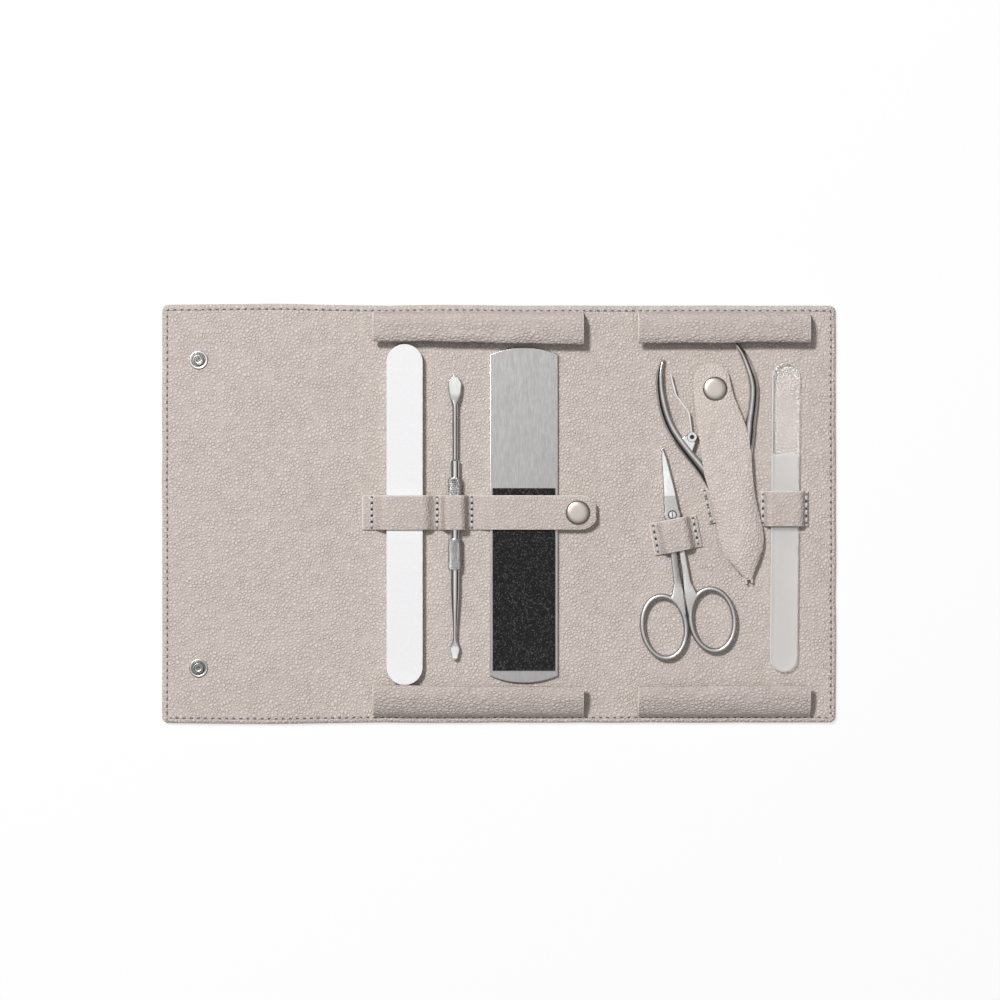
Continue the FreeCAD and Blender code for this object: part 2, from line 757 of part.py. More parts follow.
def nipper_half(layer_low, side, handle_path, open_angle):
    """One nipper half: handle and jaw at full depth, lapped at the joint; side is the handle's."""
    low = lie_gap
    layer = nipper_thickness / 2
    layer_high = layer_low + layer
    high = nipper_top
    root = nipper_jaw_root
    gap = nipper_jaw_gap
    shoulder = -nipper_disc_diameter / 2 - 2 * gap - loop_gap
    start_u, start_v = nipper_handle_start
    half = nipper_handle_width / 2
    path = [(side * start_u, start_v)] + handle_path
    handle = plan_ribbon(path, nipper_handle_bend, nipper_handle_width, low, high)
    rims = [edge for edge in handle.Edges if abs(edge.tangentAt(edge.FirstParameter).z) < 0.5]
    handle = handle.makeFillet(nipper_handle_round, rims)
    hub = disc(0, 0, nipper_disc_diameter, layer_low, layer_high)
    neck = prism(
        [
            (side * (start_u - half), nipper_disc_diameter * 0.3),
            (side * nipper_disc_diameter / 2, 0),
            (side * (start_u + half), start_v),
            (side * (start_u - half), start_v),
        ],
        layer_low,
        layer_high,
    )
    jaw = prism(
        [
            (-side * gap, shoulder),
            (-side * root, shoulder),
            (-side * root * 0.6, -nipper_jaw_length * 0.56),
            (-side * (gap + nipper_jaw_tip), -nipper_jaw_length),
            (-side * gap, -nipper_jaw_length),
        ],
        low,
        high,
    ).cut(jaw_taper(high))
    cheek = prism(
        [(-side * gap, 0), (-side * root, 0), (-side * root, shoulder), (-side * gap, shoulder)],
        layer_low,
        layer_high,
    )
    front = jaw.fuse(cheek)
    front.rotate(V(0, 0, 0), V(0, 0, 1), -open_angle)
    body = hub.fuse([handle, neck, front]).removeSplitter()
    return body.cut(disc(0, 0, nipper_pin_diameter + 2 * pin_gap, low, high))


def nippers():
    """Cuticle nippers: two halves, pivot pin, and a leaf spring on its own pin."""
    layer = nipper_thickness / 2
    upper_level = lie_gap + layer + nipper_layer_gap
    pin_u, pin_v = spring_pin_place
    ear_radius = spring_ear_diameter / 2
    ear = disc(pin_u, pin_v, spring_ear_diameter, lie_gap, lie_gap + layer)
    handle_u = nipper_left_handle[1][0]
    bridge = prism(
        [
            (pin_u, pin_v - ear_radius),
            (pin_u, pin_v + ear_radius),
            (handle_u - ear_radius, pin_v + ear_radius),
            (handle_u - ear_radius / 2, pin_v - ear_radius),
        ],
        lie_gap,
        lie_gap + layer,
    )
    pin_hole = disc(pin_u, pin_v, spring_pin_diameter + 2 * pin_gap, 0, nipper_top)
    left = nipper_half(lie_gap, -1, nipper_left_handle, 0)
    left = left.fuse([ear, bridge]).removeSplitter().cut(pin_hole)
    right = nipper_half(upper_level, 1, nipper_right_handle, nipper_open_angle)
    pivot = disc(0, 0, nipper_pin_diameter, lie_gap, nipper_top)
    leaf = plan_ribbon([spring_pin_place] + spring_path, spring_bend, spring_leaf, upper_level, nipper_top - loop_gap)
    eye = disc(pin_u, pin_v, spring_ear_diameter, upper_level, nipper_top - loop_gap)
    spring = leaf.fuse(eye).removeSplitter().cut(pin_hole)
    spring_pin = disc(pin_u, pin_v, spring_pin_diameter, lie_gap, nipper_top)
    pieces = {
        "nipper_left_half": left,
        "nipper_right_half": right,
        "nipper_pivot_pin": pivot,
        "nipper_spring": spring,
        "nipper_spring_pin": spring_pin,
    }
    for name, piece in pieces.items():
        save(name, place(piece, nipper_x, nipper_y, nipper_turn))


def sheath_section(v, wing, inside, drop):
    """Outline of the sheath across the nippers: two sewn wings and an arch."""
    t = strap_thickness
    roof = sheath_inside - drop
    crown = inside * (1 - sheath_lean)
    right = [
        (inside, lie_gap),
        (wing, lie_gap),
        (wing, lie_gap + t),
        (inside + t * 0.5, lie_gap + t),
        (crown + t * 0.4, roof + t),
    ]
    left = [(-u, z) for u, z in reversed(right)]
    roof_line = [(-crown, roof), (crown, roof)]
    return closed_wire([V(u, v, z) for u, z in right + left + roof_line])


def nipper_holder():
    """Leather sheath over the nippers' joint and jaws, and the tongue that snaps shut."""
    t = strap_thickness
    shell = Part.makeLoft([sheath_section(*station) for station in sheath_stations], True, True)
    mouth, wing = sheath_stations[0][:2]
    roof = box(-wing, wing, mouth - t, sheath_top_end, sheath_inside, sheath_inside + t)
    sheath = shell.fuse(roof).removeSplitter()
    save("nipper_sheath", place(sheath, nipper_x, nipper_y, nipper_turn))

    snap_u, snap_v = tongue_snap_place
    nose_v = snap_v + tongue_nose_lift
    level = sheath_inside + t / 2
    slope_start = snap_v - tongue_snap_flat - tongue_slope
    path = [
        (tongue_hinge, level),
        (slope_start, level),
        (slope_start + tongue_slope, snap_level),
        (nose_v + tongue_nose_radius * 1.2, snap_level),
    ]
    strip = ribbon(path, strap_bend, t, tongue_nose_radius * 6, True)
    strip.rotate(V(0, 0, 0), V(0, 0, 1), 90)
    nose = [(snap_u - tongue_nose_radius, nose_v), (snap_u + tongue_nose_radius, nose_v)]
    outline = prism(tongue_left_edge + nose + tongue_right_edge, 0, 2 * sheath_inside)
    outline = outline.fuse(disc(snap_u, nose_v, 2 * tongue_nose_radius, 0, 2 * sheath_inside))
    tongue = place(strip.common(outline), nipper_x, nipper_y, nipper_turn)
    save("nipper_tongue", tongue.cut(cap_hole(*tongue_snap)).removeSplitter())


def main():
    """Make every piece of the case."""
    os.makedirs("parts", exist_ok=True)
    case_body()
    closing_snaps()
    end_flaps()
    file_strap()
    strap_snaps("strap_snap", *strap_snap)
    nail_file()
    cuticle_pusher()
    foot_file()
    glass_file()
    scissors()
    nippers()
    nipper_holder()
    strap_snaps("nipper_snap", *tongue_snap)


main()
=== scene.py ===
"""Dresses the open manicure case: leather, thread, snaps, tools and a plain studio."""
import bmesh
import bpy
import json
import math
from bpy.props import FloatProperty, FloatVectorProperty, IntProperty, PointerProperty
from mathutils import Matrix, Vector, noise


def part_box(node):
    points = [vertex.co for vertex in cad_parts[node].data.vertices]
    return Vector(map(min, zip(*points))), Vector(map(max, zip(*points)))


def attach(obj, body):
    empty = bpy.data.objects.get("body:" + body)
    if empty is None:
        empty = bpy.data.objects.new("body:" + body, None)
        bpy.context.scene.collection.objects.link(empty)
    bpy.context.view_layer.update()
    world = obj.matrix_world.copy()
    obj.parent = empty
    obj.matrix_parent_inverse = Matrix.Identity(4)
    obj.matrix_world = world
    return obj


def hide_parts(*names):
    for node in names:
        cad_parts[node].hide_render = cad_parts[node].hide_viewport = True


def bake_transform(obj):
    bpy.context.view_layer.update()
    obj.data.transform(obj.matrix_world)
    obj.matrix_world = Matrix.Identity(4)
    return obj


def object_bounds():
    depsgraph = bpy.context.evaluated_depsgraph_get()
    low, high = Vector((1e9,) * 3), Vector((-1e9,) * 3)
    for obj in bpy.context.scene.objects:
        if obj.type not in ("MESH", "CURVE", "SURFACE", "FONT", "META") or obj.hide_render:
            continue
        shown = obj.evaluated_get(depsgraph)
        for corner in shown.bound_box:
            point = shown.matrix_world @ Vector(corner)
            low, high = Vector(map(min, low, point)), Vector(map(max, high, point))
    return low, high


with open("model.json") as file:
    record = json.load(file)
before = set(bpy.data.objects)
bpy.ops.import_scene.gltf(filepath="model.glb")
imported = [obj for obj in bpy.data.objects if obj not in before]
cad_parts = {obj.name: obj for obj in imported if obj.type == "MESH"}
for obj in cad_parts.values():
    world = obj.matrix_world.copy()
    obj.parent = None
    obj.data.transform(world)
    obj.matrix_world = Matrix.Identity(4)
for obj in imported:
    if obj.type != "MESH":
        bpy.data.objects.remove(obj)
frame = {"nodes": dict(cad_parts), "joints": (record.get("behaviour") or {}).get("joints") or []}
cad_box = [list(corner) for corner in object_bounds()]

bl_info = {
    "name": "Manicure Case",
    "version": (1, 0, 0),
    "blender": (4, 5, 0),
    "location": "View3D > Sidebar > Manicure Case",
    "description": "Builds the leather manicure case and its tools round the packed frame",
    "category": "Object",
}

MM = 0.001
UV_UNIT = 0.1
UP = Vector((0, 0, 1))
JOINTS = {joint["name"]: joint for joint in frame["joints"]}


def node_box(node):
    """Low and high corner of a frame node, in millimetres."""
    low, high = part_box(node)
    return [v / MM for v in low], [v / MM for v in high]


def middle_of(node):
    """Plan centre and half width of a node."""
    low, high = node_box(node)
    return (low[0] + high[0]) / 2, (low[1] + high[1]) / 2, (high[0] - low[0]) / 2


CASE_LOW, CASE_HIGH = ([v / MM for v in corner] for corner in cad_box)
LINING_TOP = node_box("lining_centre")[1][2]
CREASES = {name: JOINTS[name]["pos_m"][0] / MM for name in
           ("left_flap_fold", "left_fold", "right_fold", "right_panel_fold")}

# Closing sockets in the back of the right panel
SOCKET_LOW, SOCKET_HIGH = node_box("closing_sockets")
SOCKET_RADIUS = (SOCKET_HIGH[0] - SOCKET_LOW[0]) / 2
SOCKET_X = (SOCKET_LOW[0] + SOCKET_HIGH[0]) / 2
SOCKET_Y = (SOCKET_LOW[1] + SOCKET_RADIUS, SOCKET_HIGH[1] - SOCKET_RADIUS)
SOCKET_DEPTH = node_box("closing_socket_eyelets")[1][2]

# Sizes in millimetres that the frame doesn't hold
CORNER_RADIUS = 2.8
TURNED_EDGE = 1.7
GRID_PITCH, FINE_PITCH, FINE_BAND = 3.2, 0.4, 4.8
STRAP_THICK, STRAP_ROUNDING = 1.2, 0.45
STITCH_RADIUS = 0.52
TAB_RISE = 0.65
LOOP_STITCHES = 4
SCISSORS_LOOP_TURN, SCISSORS_LOOP_HALF = 11, 7.25
SEAM_THICK, FLAP_THICK, FLAP_END = 0.95, 2.4, 0.6
FLAP_SLANT = {"top_centre": 0.11, "bottom_centre": -0.05, "top_right": -0.04, "bottom_right": 0.04}
ARCHED_FLAP = ((-0.5, 0.45), (0.3, 0.5), (1.5, 3.9), (2.9, 6.2), (6.0, 6.6), (10.7, 6.5), (12.4, 5.7))
ROLLED_FLAP = ((-0.5, 0.45), (0.3, 0.5), (1.3, 2.4), (3.2, 4.3), (6.0, 5.7), (9.2, 6.5), (12.4, 6.2))
CAP_FLOOR = 4.0
PUSHER_AXIS, PUSHER_GRIPS = 2.8, ((2.3, 16.0), (-24.5, -10.8))
GLASS_LENGTH, GLASS_WIDTH, GLASS_FROST_END = 135.9, 12.2, 27.75
BLADE_START = 8.0
HANDLE_START = 9

# Counts of faces round a turned piece
LATHE_SIDES = 56
PUSHER_SIDES = 80

# Leather finishes: colour value, shade, share of the pebble size, strength of the relief
LEATHERS = {
    "pebbled_leather": ("leather", 1.0, 1.0, 0.85),
    "strap_leather": ("strap", 1.0, 0.95, 0.75),
    "flap_leather": ("strap", 0.975, 0.95, 0.90),
    "holder_leather": ("strap", 1.17, 0.95, 0.80),
    "cut_leather_edge": ("cut_edge", 1.0, 0.2, 0.3),
    # Needle holes: leather darkened as painted shade.
    "needle_hole": ("leather", 0.22, 0.3, 0.2),
}

# Metal finishes: colour value, shade, grain across and along, low and high roughness, strength of relief
METALS = {
    "satin_steel": ("steel", 1.0, 1500, 1500, 0.38, 0.46, 0.02),
    "nipper_steel": ("steel", 1.24, 120, 120, 0.13, 0.19, 0.0),
    "stud_steel": ("steel", 1.02, 12, 12, 0.34, 0.38, 0.0),
    # Darker steel for the studs' grooves and the rivets' centre: painted shade.
    "stud_groove": ("steel", 0.36, 12, 12, 0.45, 0.5, 0.0),
    "snap_nickel": ("nickel", 1.0, 12, 12, 0.30, 0.34, 0.0),
    "brushed_plate": ("plate", 1.0, 3600, 240, 0.30, 0.42, 0.10),
    "plate_rim": ("chrome", 1.0, 300, 300, 0.26, 0.34, 0.02),
    "polished_chrome": ("chrome", 1.0, 300, 40, 0.06, 0.14, 0.02),
    "knurled_steel": ("chrome", 0.70, 900, 900, 0.34, 0.42, 0.0),
    "polished_blade": ("chrome", 1.06, 200, 200, 0.09, 0.17, 0.02),
    "screw_steel": ("chrome", 1.0, 300, 300, 0.22, 0.3, 0.0),
    "screw_shade": ("chrome", 0.12, 300, 300, 0.4, 0.5, 0.0),
    "pin_steel": ("chrome", 1.0, 60, 60, 0.14, 0.22, 0.0),
    "dark_pin": ("chrome", 0.0556, 60, 60, 0.4, 0.5, 0.0),
}

# Key light and camera, in metres; the key's side is a plan direction
KEY_SIDE, KEY_DISTANCE, KEY_SIZE = (-0.64, 0.768, 0), 3.0, 0.42
VIEW_CENTRE = (0.00044, 0.0062)
TABLE_HALF, TABLE_DROP = 3000, -0.1


class CaseLooks(bpy.types.PropertyGroup):
    """Colours and sizes of the leather case that a user would change."""
    leather: FloatVectorProperty(
        name="Leather", description="Colour of the leather", subtype="COLOR",
        default=(0.645, 0.572, 0.527), min=0, max=1)
    strap: FloatVectorProperty(
        name="Strap leather", description="Colour of the straps and flaps", subtype="COLOR",
        default=(0.615, 0.542, 0.503), min=0, max=1)
    cut_edge: FloatVectorProperty(
        name="Cut edge", description="Colour of the raw leather edge", subtype="COLOR",
        default=(0.80, 0.74, 0.67), min=0, max=1)
    thread: FloatVectorProperty(
        name="Seam thread", description="Colour of the perimeter thread", subtype="COLOR",
        default=(0.60, 0.55, 0.53), min=0, max=1)
    strap_thread: FloatVectorProperty(
        name="Strap thread", description="Colour of the strap thread", subtype="COLOR",
        default=(0.70, 0.685, 0.69), min=0, max=1)
    pebble: FloatProperty(
        name="Pebble size", description="Mean width of one pebble of the grain", unit="LENGTH",
        default=0.00145, min=0.0003, max=0.01)
    stitch_pitch: FloatProperty(
        name="Stitch pitch", description="From one perimeter stitch to the next", unit="LENGTH",
        default=0.0031, min=0.001, max=0.01)
    seam_inset: FloatProperty(
        name="Seam inset", description="Perimeter seam to the edge of the case", unit="LENGTH",
        default=0.0024, min=0.001, max=0.01)


class ToolLooks(bpy.types.PropertyGroup):
    """Colours and sizes of the tools and snaps that a user would change."""
    steel: FloatVectorProperty(
        name="Satin steel", description="Colour of the scissors and nippers", subtype="COLOR",
        default=(0.565, 0.553, 0.536), min=0, max=1)
    chrome: FloatVectorProperty(
        name="Polished steel", description="Colour of the pusher", subtype="COLOR",
        default=(0.90, 0.90, 0.895), min=0, max=1)
    nickel: FloatVectorProperty(
        name="Snap nickel", description="Colour of the snaps", subtype="COLOR",
        default=(0.63, 0.572, 0.518), min=0, max=1)
    plate: FloatVectorProperty(
        name="Brushed plate", description="Colour of the foot file", subtype="COLOR",
        default=(0.44, 0.437, 0.43), min=0, max=1)
    white_grit: FloatVectorProperty(
        name="White grit", description="Colour of the nail file", subtype="COLOR",
        default=(0.80, 0.80, 0.81), min=0, max=1)
    black_grit: FloatVectorProperty(
        name="Black grit", description="Colour of the foot file's pad", subtype="COLOR",
        default=(0.013, 0.013, 0.014), min=0, max=1)
    glass: FloatVectorProperty(
        name="Glass", description="Tint of the glass file", subtype="COLOR",
        default=(0.795, 0.815, 0.82), min=0, max=1)
    knurl_pitch: FloatProperty(
        name="Knurl pitch", description="From one knurl diamond to the next", unit="LENGTH",
        default=0.0009, min=0.0003, max=0.003)
    voxel: FloatProperty(
        name="Forging detail", description="Cell size of the rounded forgings", unit="LENGTH",
        default=0.00025, min=0.0001, max=0.001)


class StageLooks(bpy.types.PropertyGroup):
    """Light and camera values that a user would change."""
    key_watts: FloatProperty(
        name="Key light", description="Power of the key light", unit="POWER", default=77.5, min=0)
    sky: FloatProperty(
        name="Sky", description="Strength of the soft light all round", default=0.46, min=0, max=2)
    lens: FloatProperty(
        name="Lens", description="Focal length of the camera in millimetres", default=100, min=20)
    view_width: FloatProperty(
        name="View width", description="Width of the picture on the table", unit="LENGTH",
        default=0.44, min=0.05)
    key_elevation: IntProperty(
        name="Key elevation", description="Height of the key light above the table in degrees",
        default=58, min=5, max=90)


def looks():
    """The scene's three groups of values."""
    scene = bpy.context.scene
    return scene.case_looks, scene.tool_looks, scene.stage_looks


# Node helpers


def new_group(name, *inputs):
    """Shader node group from (socket, kind) pairs; returns it, its ends and its inputs in order."""
    group = bpy.data.node_groups.new(name, "ShaderNodeTree")
    outputs = (("Colour", "Color"), ("Roughness", "Float"), ("Height", "Float"))
    for way, sockets in (("INPUT", inputs), ("OUTPUT", outputs)):
        for socket, kind in sockets:
            group.interface.new_socket(socket, in_out=way, socket_type="NodeSocket" + kind)
    start = group.nodes.new("NodeGroupInput")
    end = group.nodes.new("NodeGroupOutput")
    return group, end.inputs, [start.outputs[socket] for socket, _ in inputs]


def add(tree, kind, **settings):
    """New node with these settings."""
    node = tree.nodes.new(kind)
    for key, value in settings.items():
        setattr(node, key, value)
    return node


def wire(tree, source, target):
    """Link two sockets, or set the target where the source is a plain value."""
    if isinstance(source, bpy.types.NodeSocket):
        tree.links.new(source, target)
    else:
        target.default_value = source


def maths(tree, operation, a, b, clamp=False):
    """Math node on two values."""
    node = add(tree, "ShaderNodeMath", operation=operation, use_clamp=clamp)
    wire(tree, a, node.inputs[0])
    wire(tree, b, node.inputs[1])
    return node.outputs[0]


def times(tree, a, b):
    """Product of two values."""
    return maths(tree, "MULTIPLY", a, b)


def ramp(tree, value, low, high, to_low=0.0, to_high=1.0):
    """Smooth step of a value from one range to another."""
    node = add(tree, "ShaderNodeMapRange", interpolation_type="SMOOTHSTEP")
    for socket, number in zip(node.inputs[:5], (value, low, high, to_low, to_high)):
        wire(tree, number, socket)
    return node.outputs[0]


def mix_colour(tree, factor, a, b, blend="MIX"):
    """Mix node on two colours."""
    node = add(tree, "ShaderNodeMix", data_type="RGBA", blend_type=blend)
    wire(tree, factor, node.inputs[0])
    wire(tree, a, node.inputs[6])
    wire(tree, b, node.inputs[7])
    return node.outputs[2]


def tinted(tree, colour, tint):
    """A colour times a plain tint."""
    return mix_colour(tree, 1.0, colour, (*tint, 1), "MULTIPLY")


def cloud(tree, vector, scale, detail, rough, output="Fac"):
    """Noise texture."""
    node = add(tree, "ShaderNodeTexNoise")
    values = {"Vector": vector, "Scale": scale, "Detail": detail, "Roughness": rough}
    for socket, value in values.items():
        wire(tree, value, node.inputs[socket])
    return node.outputs[output]


def cells(tree, vector, scale, feature="DISTANCE_TO_EDGE"):
    """Outputs of a Voronoi texture."""
    node = add(tree, "ShaderNodeTexVoronoi", feature=feature)
    wire(tree, vector, node.inputs["Vector"])
    wire(tree, scale, node.inputs["Scale"])
    return node.outputs


def leather_grain_group():
    """Pebbles with soft valleys, fine pores and slow changes of tone, with painted shade in the valleys and
    a painted highlight on the pebble crowns.
    """
    group, ends, (vector, scale, colour) = new_group(
        "leather_grain", ("Vector", "Vector"), ("Scale", "Float"), ("Colour", "Color"))
    reach = add(group, "ShaderNodeCombineXYZ")
    for socket in reach.inputs:
        wire(group, maths(group, "DIVIDE", 0.40, scale), socket)
    wander = cloud(group, vector, times(group, scale, 0.45), 1.0, 0.5, "Color")
    push = add(group, "ShaderNodeVectorMath", operation="MULTIPLY_ADD")
    for value, socket in zip((wander, reach.outputs[0], vector), push.inputs):
        wire(group, value, socket)
    bent = push.outputs[0]
    plump = ramp(group, cells(group, bent, scale)["Distance"], 0.0, 0.24)
    crumb = ramp(group, cells(group, bent, times(group, scale, 2.3))["Distance"], 0.0, 0.25)
    hollow = ramp(group, cells(group, bent, scale, "F1")["Distance"], 0.0, 0.65)
    dome = maths(group, "SUBTRACT", 1.0, hollow)
    pores = cloud(group, vector, times(group, scale, 7.0), 3.0, 0.65)
    slow = cloud(group, vector, times(group, scale, 0.045), 3.0, 0.55)
    patch = cloud(group, vector, times(group, scale, 0.22), 3.0, 0.6)
    strong = ramp(group, patch, 0.30, 0.65, 0.75, 1.0)
    pebble = maths(group, "ADD", times(group, plump, 0.55), times(group, dome, 0.45))
    relief = times(group, pebble, strong)
    height = maths(group, "ADD", relief, times(group, crumb, 0.10))
    wire(group, maths(group, "ADD", height, times(group, pores, 0.10)), ends["Height"])
    wire(group, ramp(group, relief, 0.0, 1.0, 0.66, 0.50), ends["Roughness"])
    # Valleys between the pebbles are darkened in colour: painted shade.
    valley_shade = times(group, maths(group, "SUBTRACT", 1.0, plump), strong)
    dark = tinted(group, colour, (0.72, 0.695, 0.70))
    toned = mix_colour(group, times(group, valley_shade, 0.58), colour, dark)
    # Pebble crowns are lightened in colour: a painted highlight.
    light = tinted(group, colour, (1.16, 1.155, 1.15))
    crown = times(group, dome, strong)
    toned = mix_colour(group, times(group, crown, 0.20), toned, light)
    shade = tinted(group, toned, (0.965, 0.96, 0.957))
    wire(group, mix_colour(group, ramp(group, slow, 0.40, 0.72), toned, shade), ends["Colour"])
    return group


def metal_finish_group():
    """Drawn-out noise along one axis for brushed, ground and blasted metal."""
    group, ends, (vector, stretch, colour, low, high) = new_group(
        "metal_finish", ("Vector", "Vector"), ("Stretch", "Vector"), ("Colour", "Color"), ("Low", "Float"),
        ("High", "Float"))
    scaled = add(group, "ShaderNodeVectorMath", operation="MULTIPLY")
    wire(group, vector, scaled.inputs[0])
    wire(group, stretch, scaled.inputs[1])
    lines = cloud(group, scaled.outputs[0], 1.0, 4.0, 0.7)
    smear = cloud(group, vector, 45.0, 3.0, 0.6)
    both = maths(group, "ADD", times(group, lines, 0.75), times(group, smear, 0.25))
    wire(group, ramp(group, both, 0.32, 0.70, low, high), ends["Roughness"])
    dark = tinted(group, colour, (0.80, 0.80, 0.80))
    wire(group, mix_colour(group, ramp(group, lines, 0.35, 0.72), dark, colour), ends["Colour"])
    wire(group, lines, ends["Height"])
    return group


def abrasive_grit_group():
    """Packed grains of abrasive, some of them glinting."""
    group, ends, (vector, scale, colour, glint, share) = new_group(
        "abrasive_grit", ("Vector", "Vector"), ("Scale", "Float"), ("Colour", "Color"), ("Glint", "Color"),
        ("Share", "Float"))
    grain = cells(group, vector, scale, "F1")
    lump = cloud(group, vector, times(group, scale, 0.4), 2.0, 0.6)
    pick = ramp(group, grain["Color"], share, 1.0)
    wire(group, mix_colour(group, pick, colour, glint), ends["Colour"])
    wire(group, maths(group, "SUBTRACT", 0.85, times(group, pick, 0.5)), ends["Roughness"])
    stand = maths(group, "SUBTRACT", 1.0, grain["Distance"])
    wire(group, maths(group, "ADD", stand, times(group, lump, 0.6)), ends["Height"])
    return group


GROUP_MAKERS = {"leather_grain": leather_grain_group, "metal_finish": metal_finish_group,
                "abrasive_grit": abrasive_grit_group}


# Materials


def new_material(name, **shader):
    """Material with plain values on its Principled shader; returns it, its tree and the shader."""
    made = bpy.data.materials.new(name)
    made.use_nodes = True
    principled = made.node_tree.nodes["Principled BSDF"]
    for socket, value in shader.items():
        principled.inputs[socket.replace("_", " ").title().replace("Ior", "IOR")].default_value = value
    return made, made.node_tree, principled


def finish(name, group, values, coordinates, bump, **shader):
    """Material with one shared group on a Principled shader; bump is its strength and depth."""
    name += "_finish"
    if name in bpy.data.materials:
        return bpy.data.materials[name]
    made, tree, principled = new_material(name, **shader)
    node = add(tree, "ShaderNodeGroup")
    node.node_tree = bpy.data.node_groups.get(group) or GROUP_MAKERS[group]()
    for socket, value in values.items():
        node.inputs[socket].default_value = value
    source = add(tree, "ShaderNodeTexCoord")
    relief = add(tree, "ShaderNodeBump")
    relief.inputs["Strength"].default_value = bump[0]
    relief.inputs["Distance"].default_value = bump[1]
    tree.links.new(source.outputs[coordinates], node.inputs["Vector"])
    tree.links.new(node.outputs["Colour"], principled.inputs["Base Color"])
    tree.links.new(node.outputs["Roughness"], principled.inputs["Roughness"])
    tree.links.new(node.outputs["Height"], relief.inputs["Height"])
    tree.links.new(relief.outputs["Normal"], principled.inputs["Normal"])
    return made


def shaded(values, name, shade):
    """A colour from a group of values, made lighter or darker."""
    return (*(v * shade for v in getattr(values, name)), 1)


def leather(name):
    """Pebbled leather laid out by the piece's own flat pattern."""
    case = looks()[0]
    colour, shade, share, bump = LEATHERS[name]
    values = {"Scale": UV_UNIT / (case.pebble * share), "Colour": shaded(case, colour, shade)}
    return finish(name, "leather_grain", values, "UV", (bump, 0.0005), specular_ior_level=0.38)


def cut_leather(name):
    """Slots of a cut piece: its face and its raw edge."""
    return [leather(name), leather("cut_leather_edge")]


def metal(name):
    """Steel or plate with a drawn-out finish."""
    colour, shade, across, along_it, low, high, bump = METALS[name]
    values = {"Stretch": (across, along_it, across), "Colour": shaded(looks()[1], colour, shade),
              "Low": low, "High": high}
    return finish(name, "metal_finish", values, "Object", (bump, 0.0001), metallic=1.0)


def thread(name, colour):
    """Twisted thread."""
    values = {"Stretch": (900, 3000, 900), "Colour": (*colour, 1), "Low": 0.6, "High": 0.8}
    return finish(name, "metal_finish", values, "Object", (0.5, 0.0002))


def strap_yarn():
    """Pale thread of the straps."""
    return thread("strap_thread", looks()[0].strap_thread)


def grit(name, scale, colour, glint, share, bump, **shader):
    """Abrasive of one grain size, with a share of brighter grains."""
    values = {"Scale": scale, "Colour": (*colour, 1), "Glint": (*glint, 1), "Share": share}
    return finish(name, "abrasive_grit", values, "Object", bump, **shader)


def mix_shaders(tree, factor, first, second):
    """Sends a mix of two shaders to the material's output."""
    blend = add(tree, "ShaderNodeMixShader")
    wire(tree, factor, blend.inputs[0])
    tree.links.new(first.outputs[0], blend.inputs[1])
    tree.links.new(second.outputs[0], blend.inputs[2])
    tree.links.new(blend.outputs[0], tree.nodes["Material Output"].inputs["Surface"])


def glass(name, colour, through, rough):
    """Glass with plain values on the shader, which lets part of the light through to its shadow."""
    made, tree, shader = new_material(
        name, base_color=(*colour, 1), transmission_weight=through, roughness=rough, ior=1.5)
    path = add(tree, "ShaderNodeLightPath")
    open_air = add(tree, "ShaderNodeBsdfTransparent")
    mix_shaders(tree, times(tree, path.outputs["Is Shadow Ray"], 0.7 * through), shader, open_air)
    return made


# Mesh helpers


def placed(name, data):
    """Object with this mesh, light or camera, in the scene."""
    made = bpy.data.objects.new(name, data)
    bpy.context.scene.collection.objects.link(made)
    return made


def piece(name, verts, faces, materials, uvs=None, face_materials=None, sharp=None):
    """Mesh object from millimetre points; uvs are per vertex, in UV units."""
    mesh = bpy.data.meshes.new(name)
    mesh.from_pydata([(x * MM, y * MM, z * MM) for x, y, z in verts], [], faces)
    for material in materials:
        mesh.materials.append(material)
    if face_materials:
        mesh.polygons.foreach_set("material_index", face_materials)
    if uvs:
        layer = mesh.uv_layers.new(name="flat")
        for loop in mesh.loops:
            layer.data[loop.index].uv = uvs[loop.vertex_index]
    mesh.shade_smooth()
    if sharp:
        mesh.set_sharp_from_angle(angle=math.radians(sharp))
    mesh.update()
    return placed(name, mesh)


def settle(made, body=None, nodes=()):
    """Attach a piece to the body it rides on and hide the frame nodes it stands for."""
    if body:
        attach(made, body)
    if nodes:
        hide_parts(*nodes)


def dress(material, *nodes):
    """Gives frame nodes that keep their own shape a finish."""
    for node in nodes:
        mesh = frame["nodes"][node].data
        mesh.materials.clear()
        mesh.materials.append(material)


def smooth(value, low, high):
    """Smooth step from 0 to 1."""
    t = min(max((value - low) / (high - low), 0.0), 1.0)
    return t * t * (3 - 2 * t)


def bell(value, middle, width):
    """Bell curve of height 1."""
    return math.exp(-((value - middle) / width) ** 2)


def ripple(x, y, size, seed):
    """Slow noise from -1 to 1 at a plan point, in millimetres."""
    return noise.noise(Vector((x / size, y / size, seed)))


def steps(low, high, pitch):
    """Evenly spaced numbers from low to high."""
    count = max(1, round((high - low) / pitch))
    return [low + (high - low) * k / count for k in range(count + 1)]


def spread(*spans):
    """Sorted numbers over several (low, high, pitch) spans."""
    marks = sorted(v for span in spans for v in steps(*span))
    kept = marks[:1]
    for v in marks[1:]:
        if v - kept[-1] > 1e-4:
            kept.append(v)
    return kept


def between(marks, v):
    """Values at v from a short list of (v, values...) rows, eased from row to row."""
    if v <= marks[0][0]:
        return marks[0][1:]
    for a, b in zip(marks, marks[1:]):
        if v <= b[0]:
            t = smooth(v, a[0], b[0])
            return tuple(p + (q - p) * t for p, q in zip(a[1:], b[1:]))
    return marks[-1][1:]


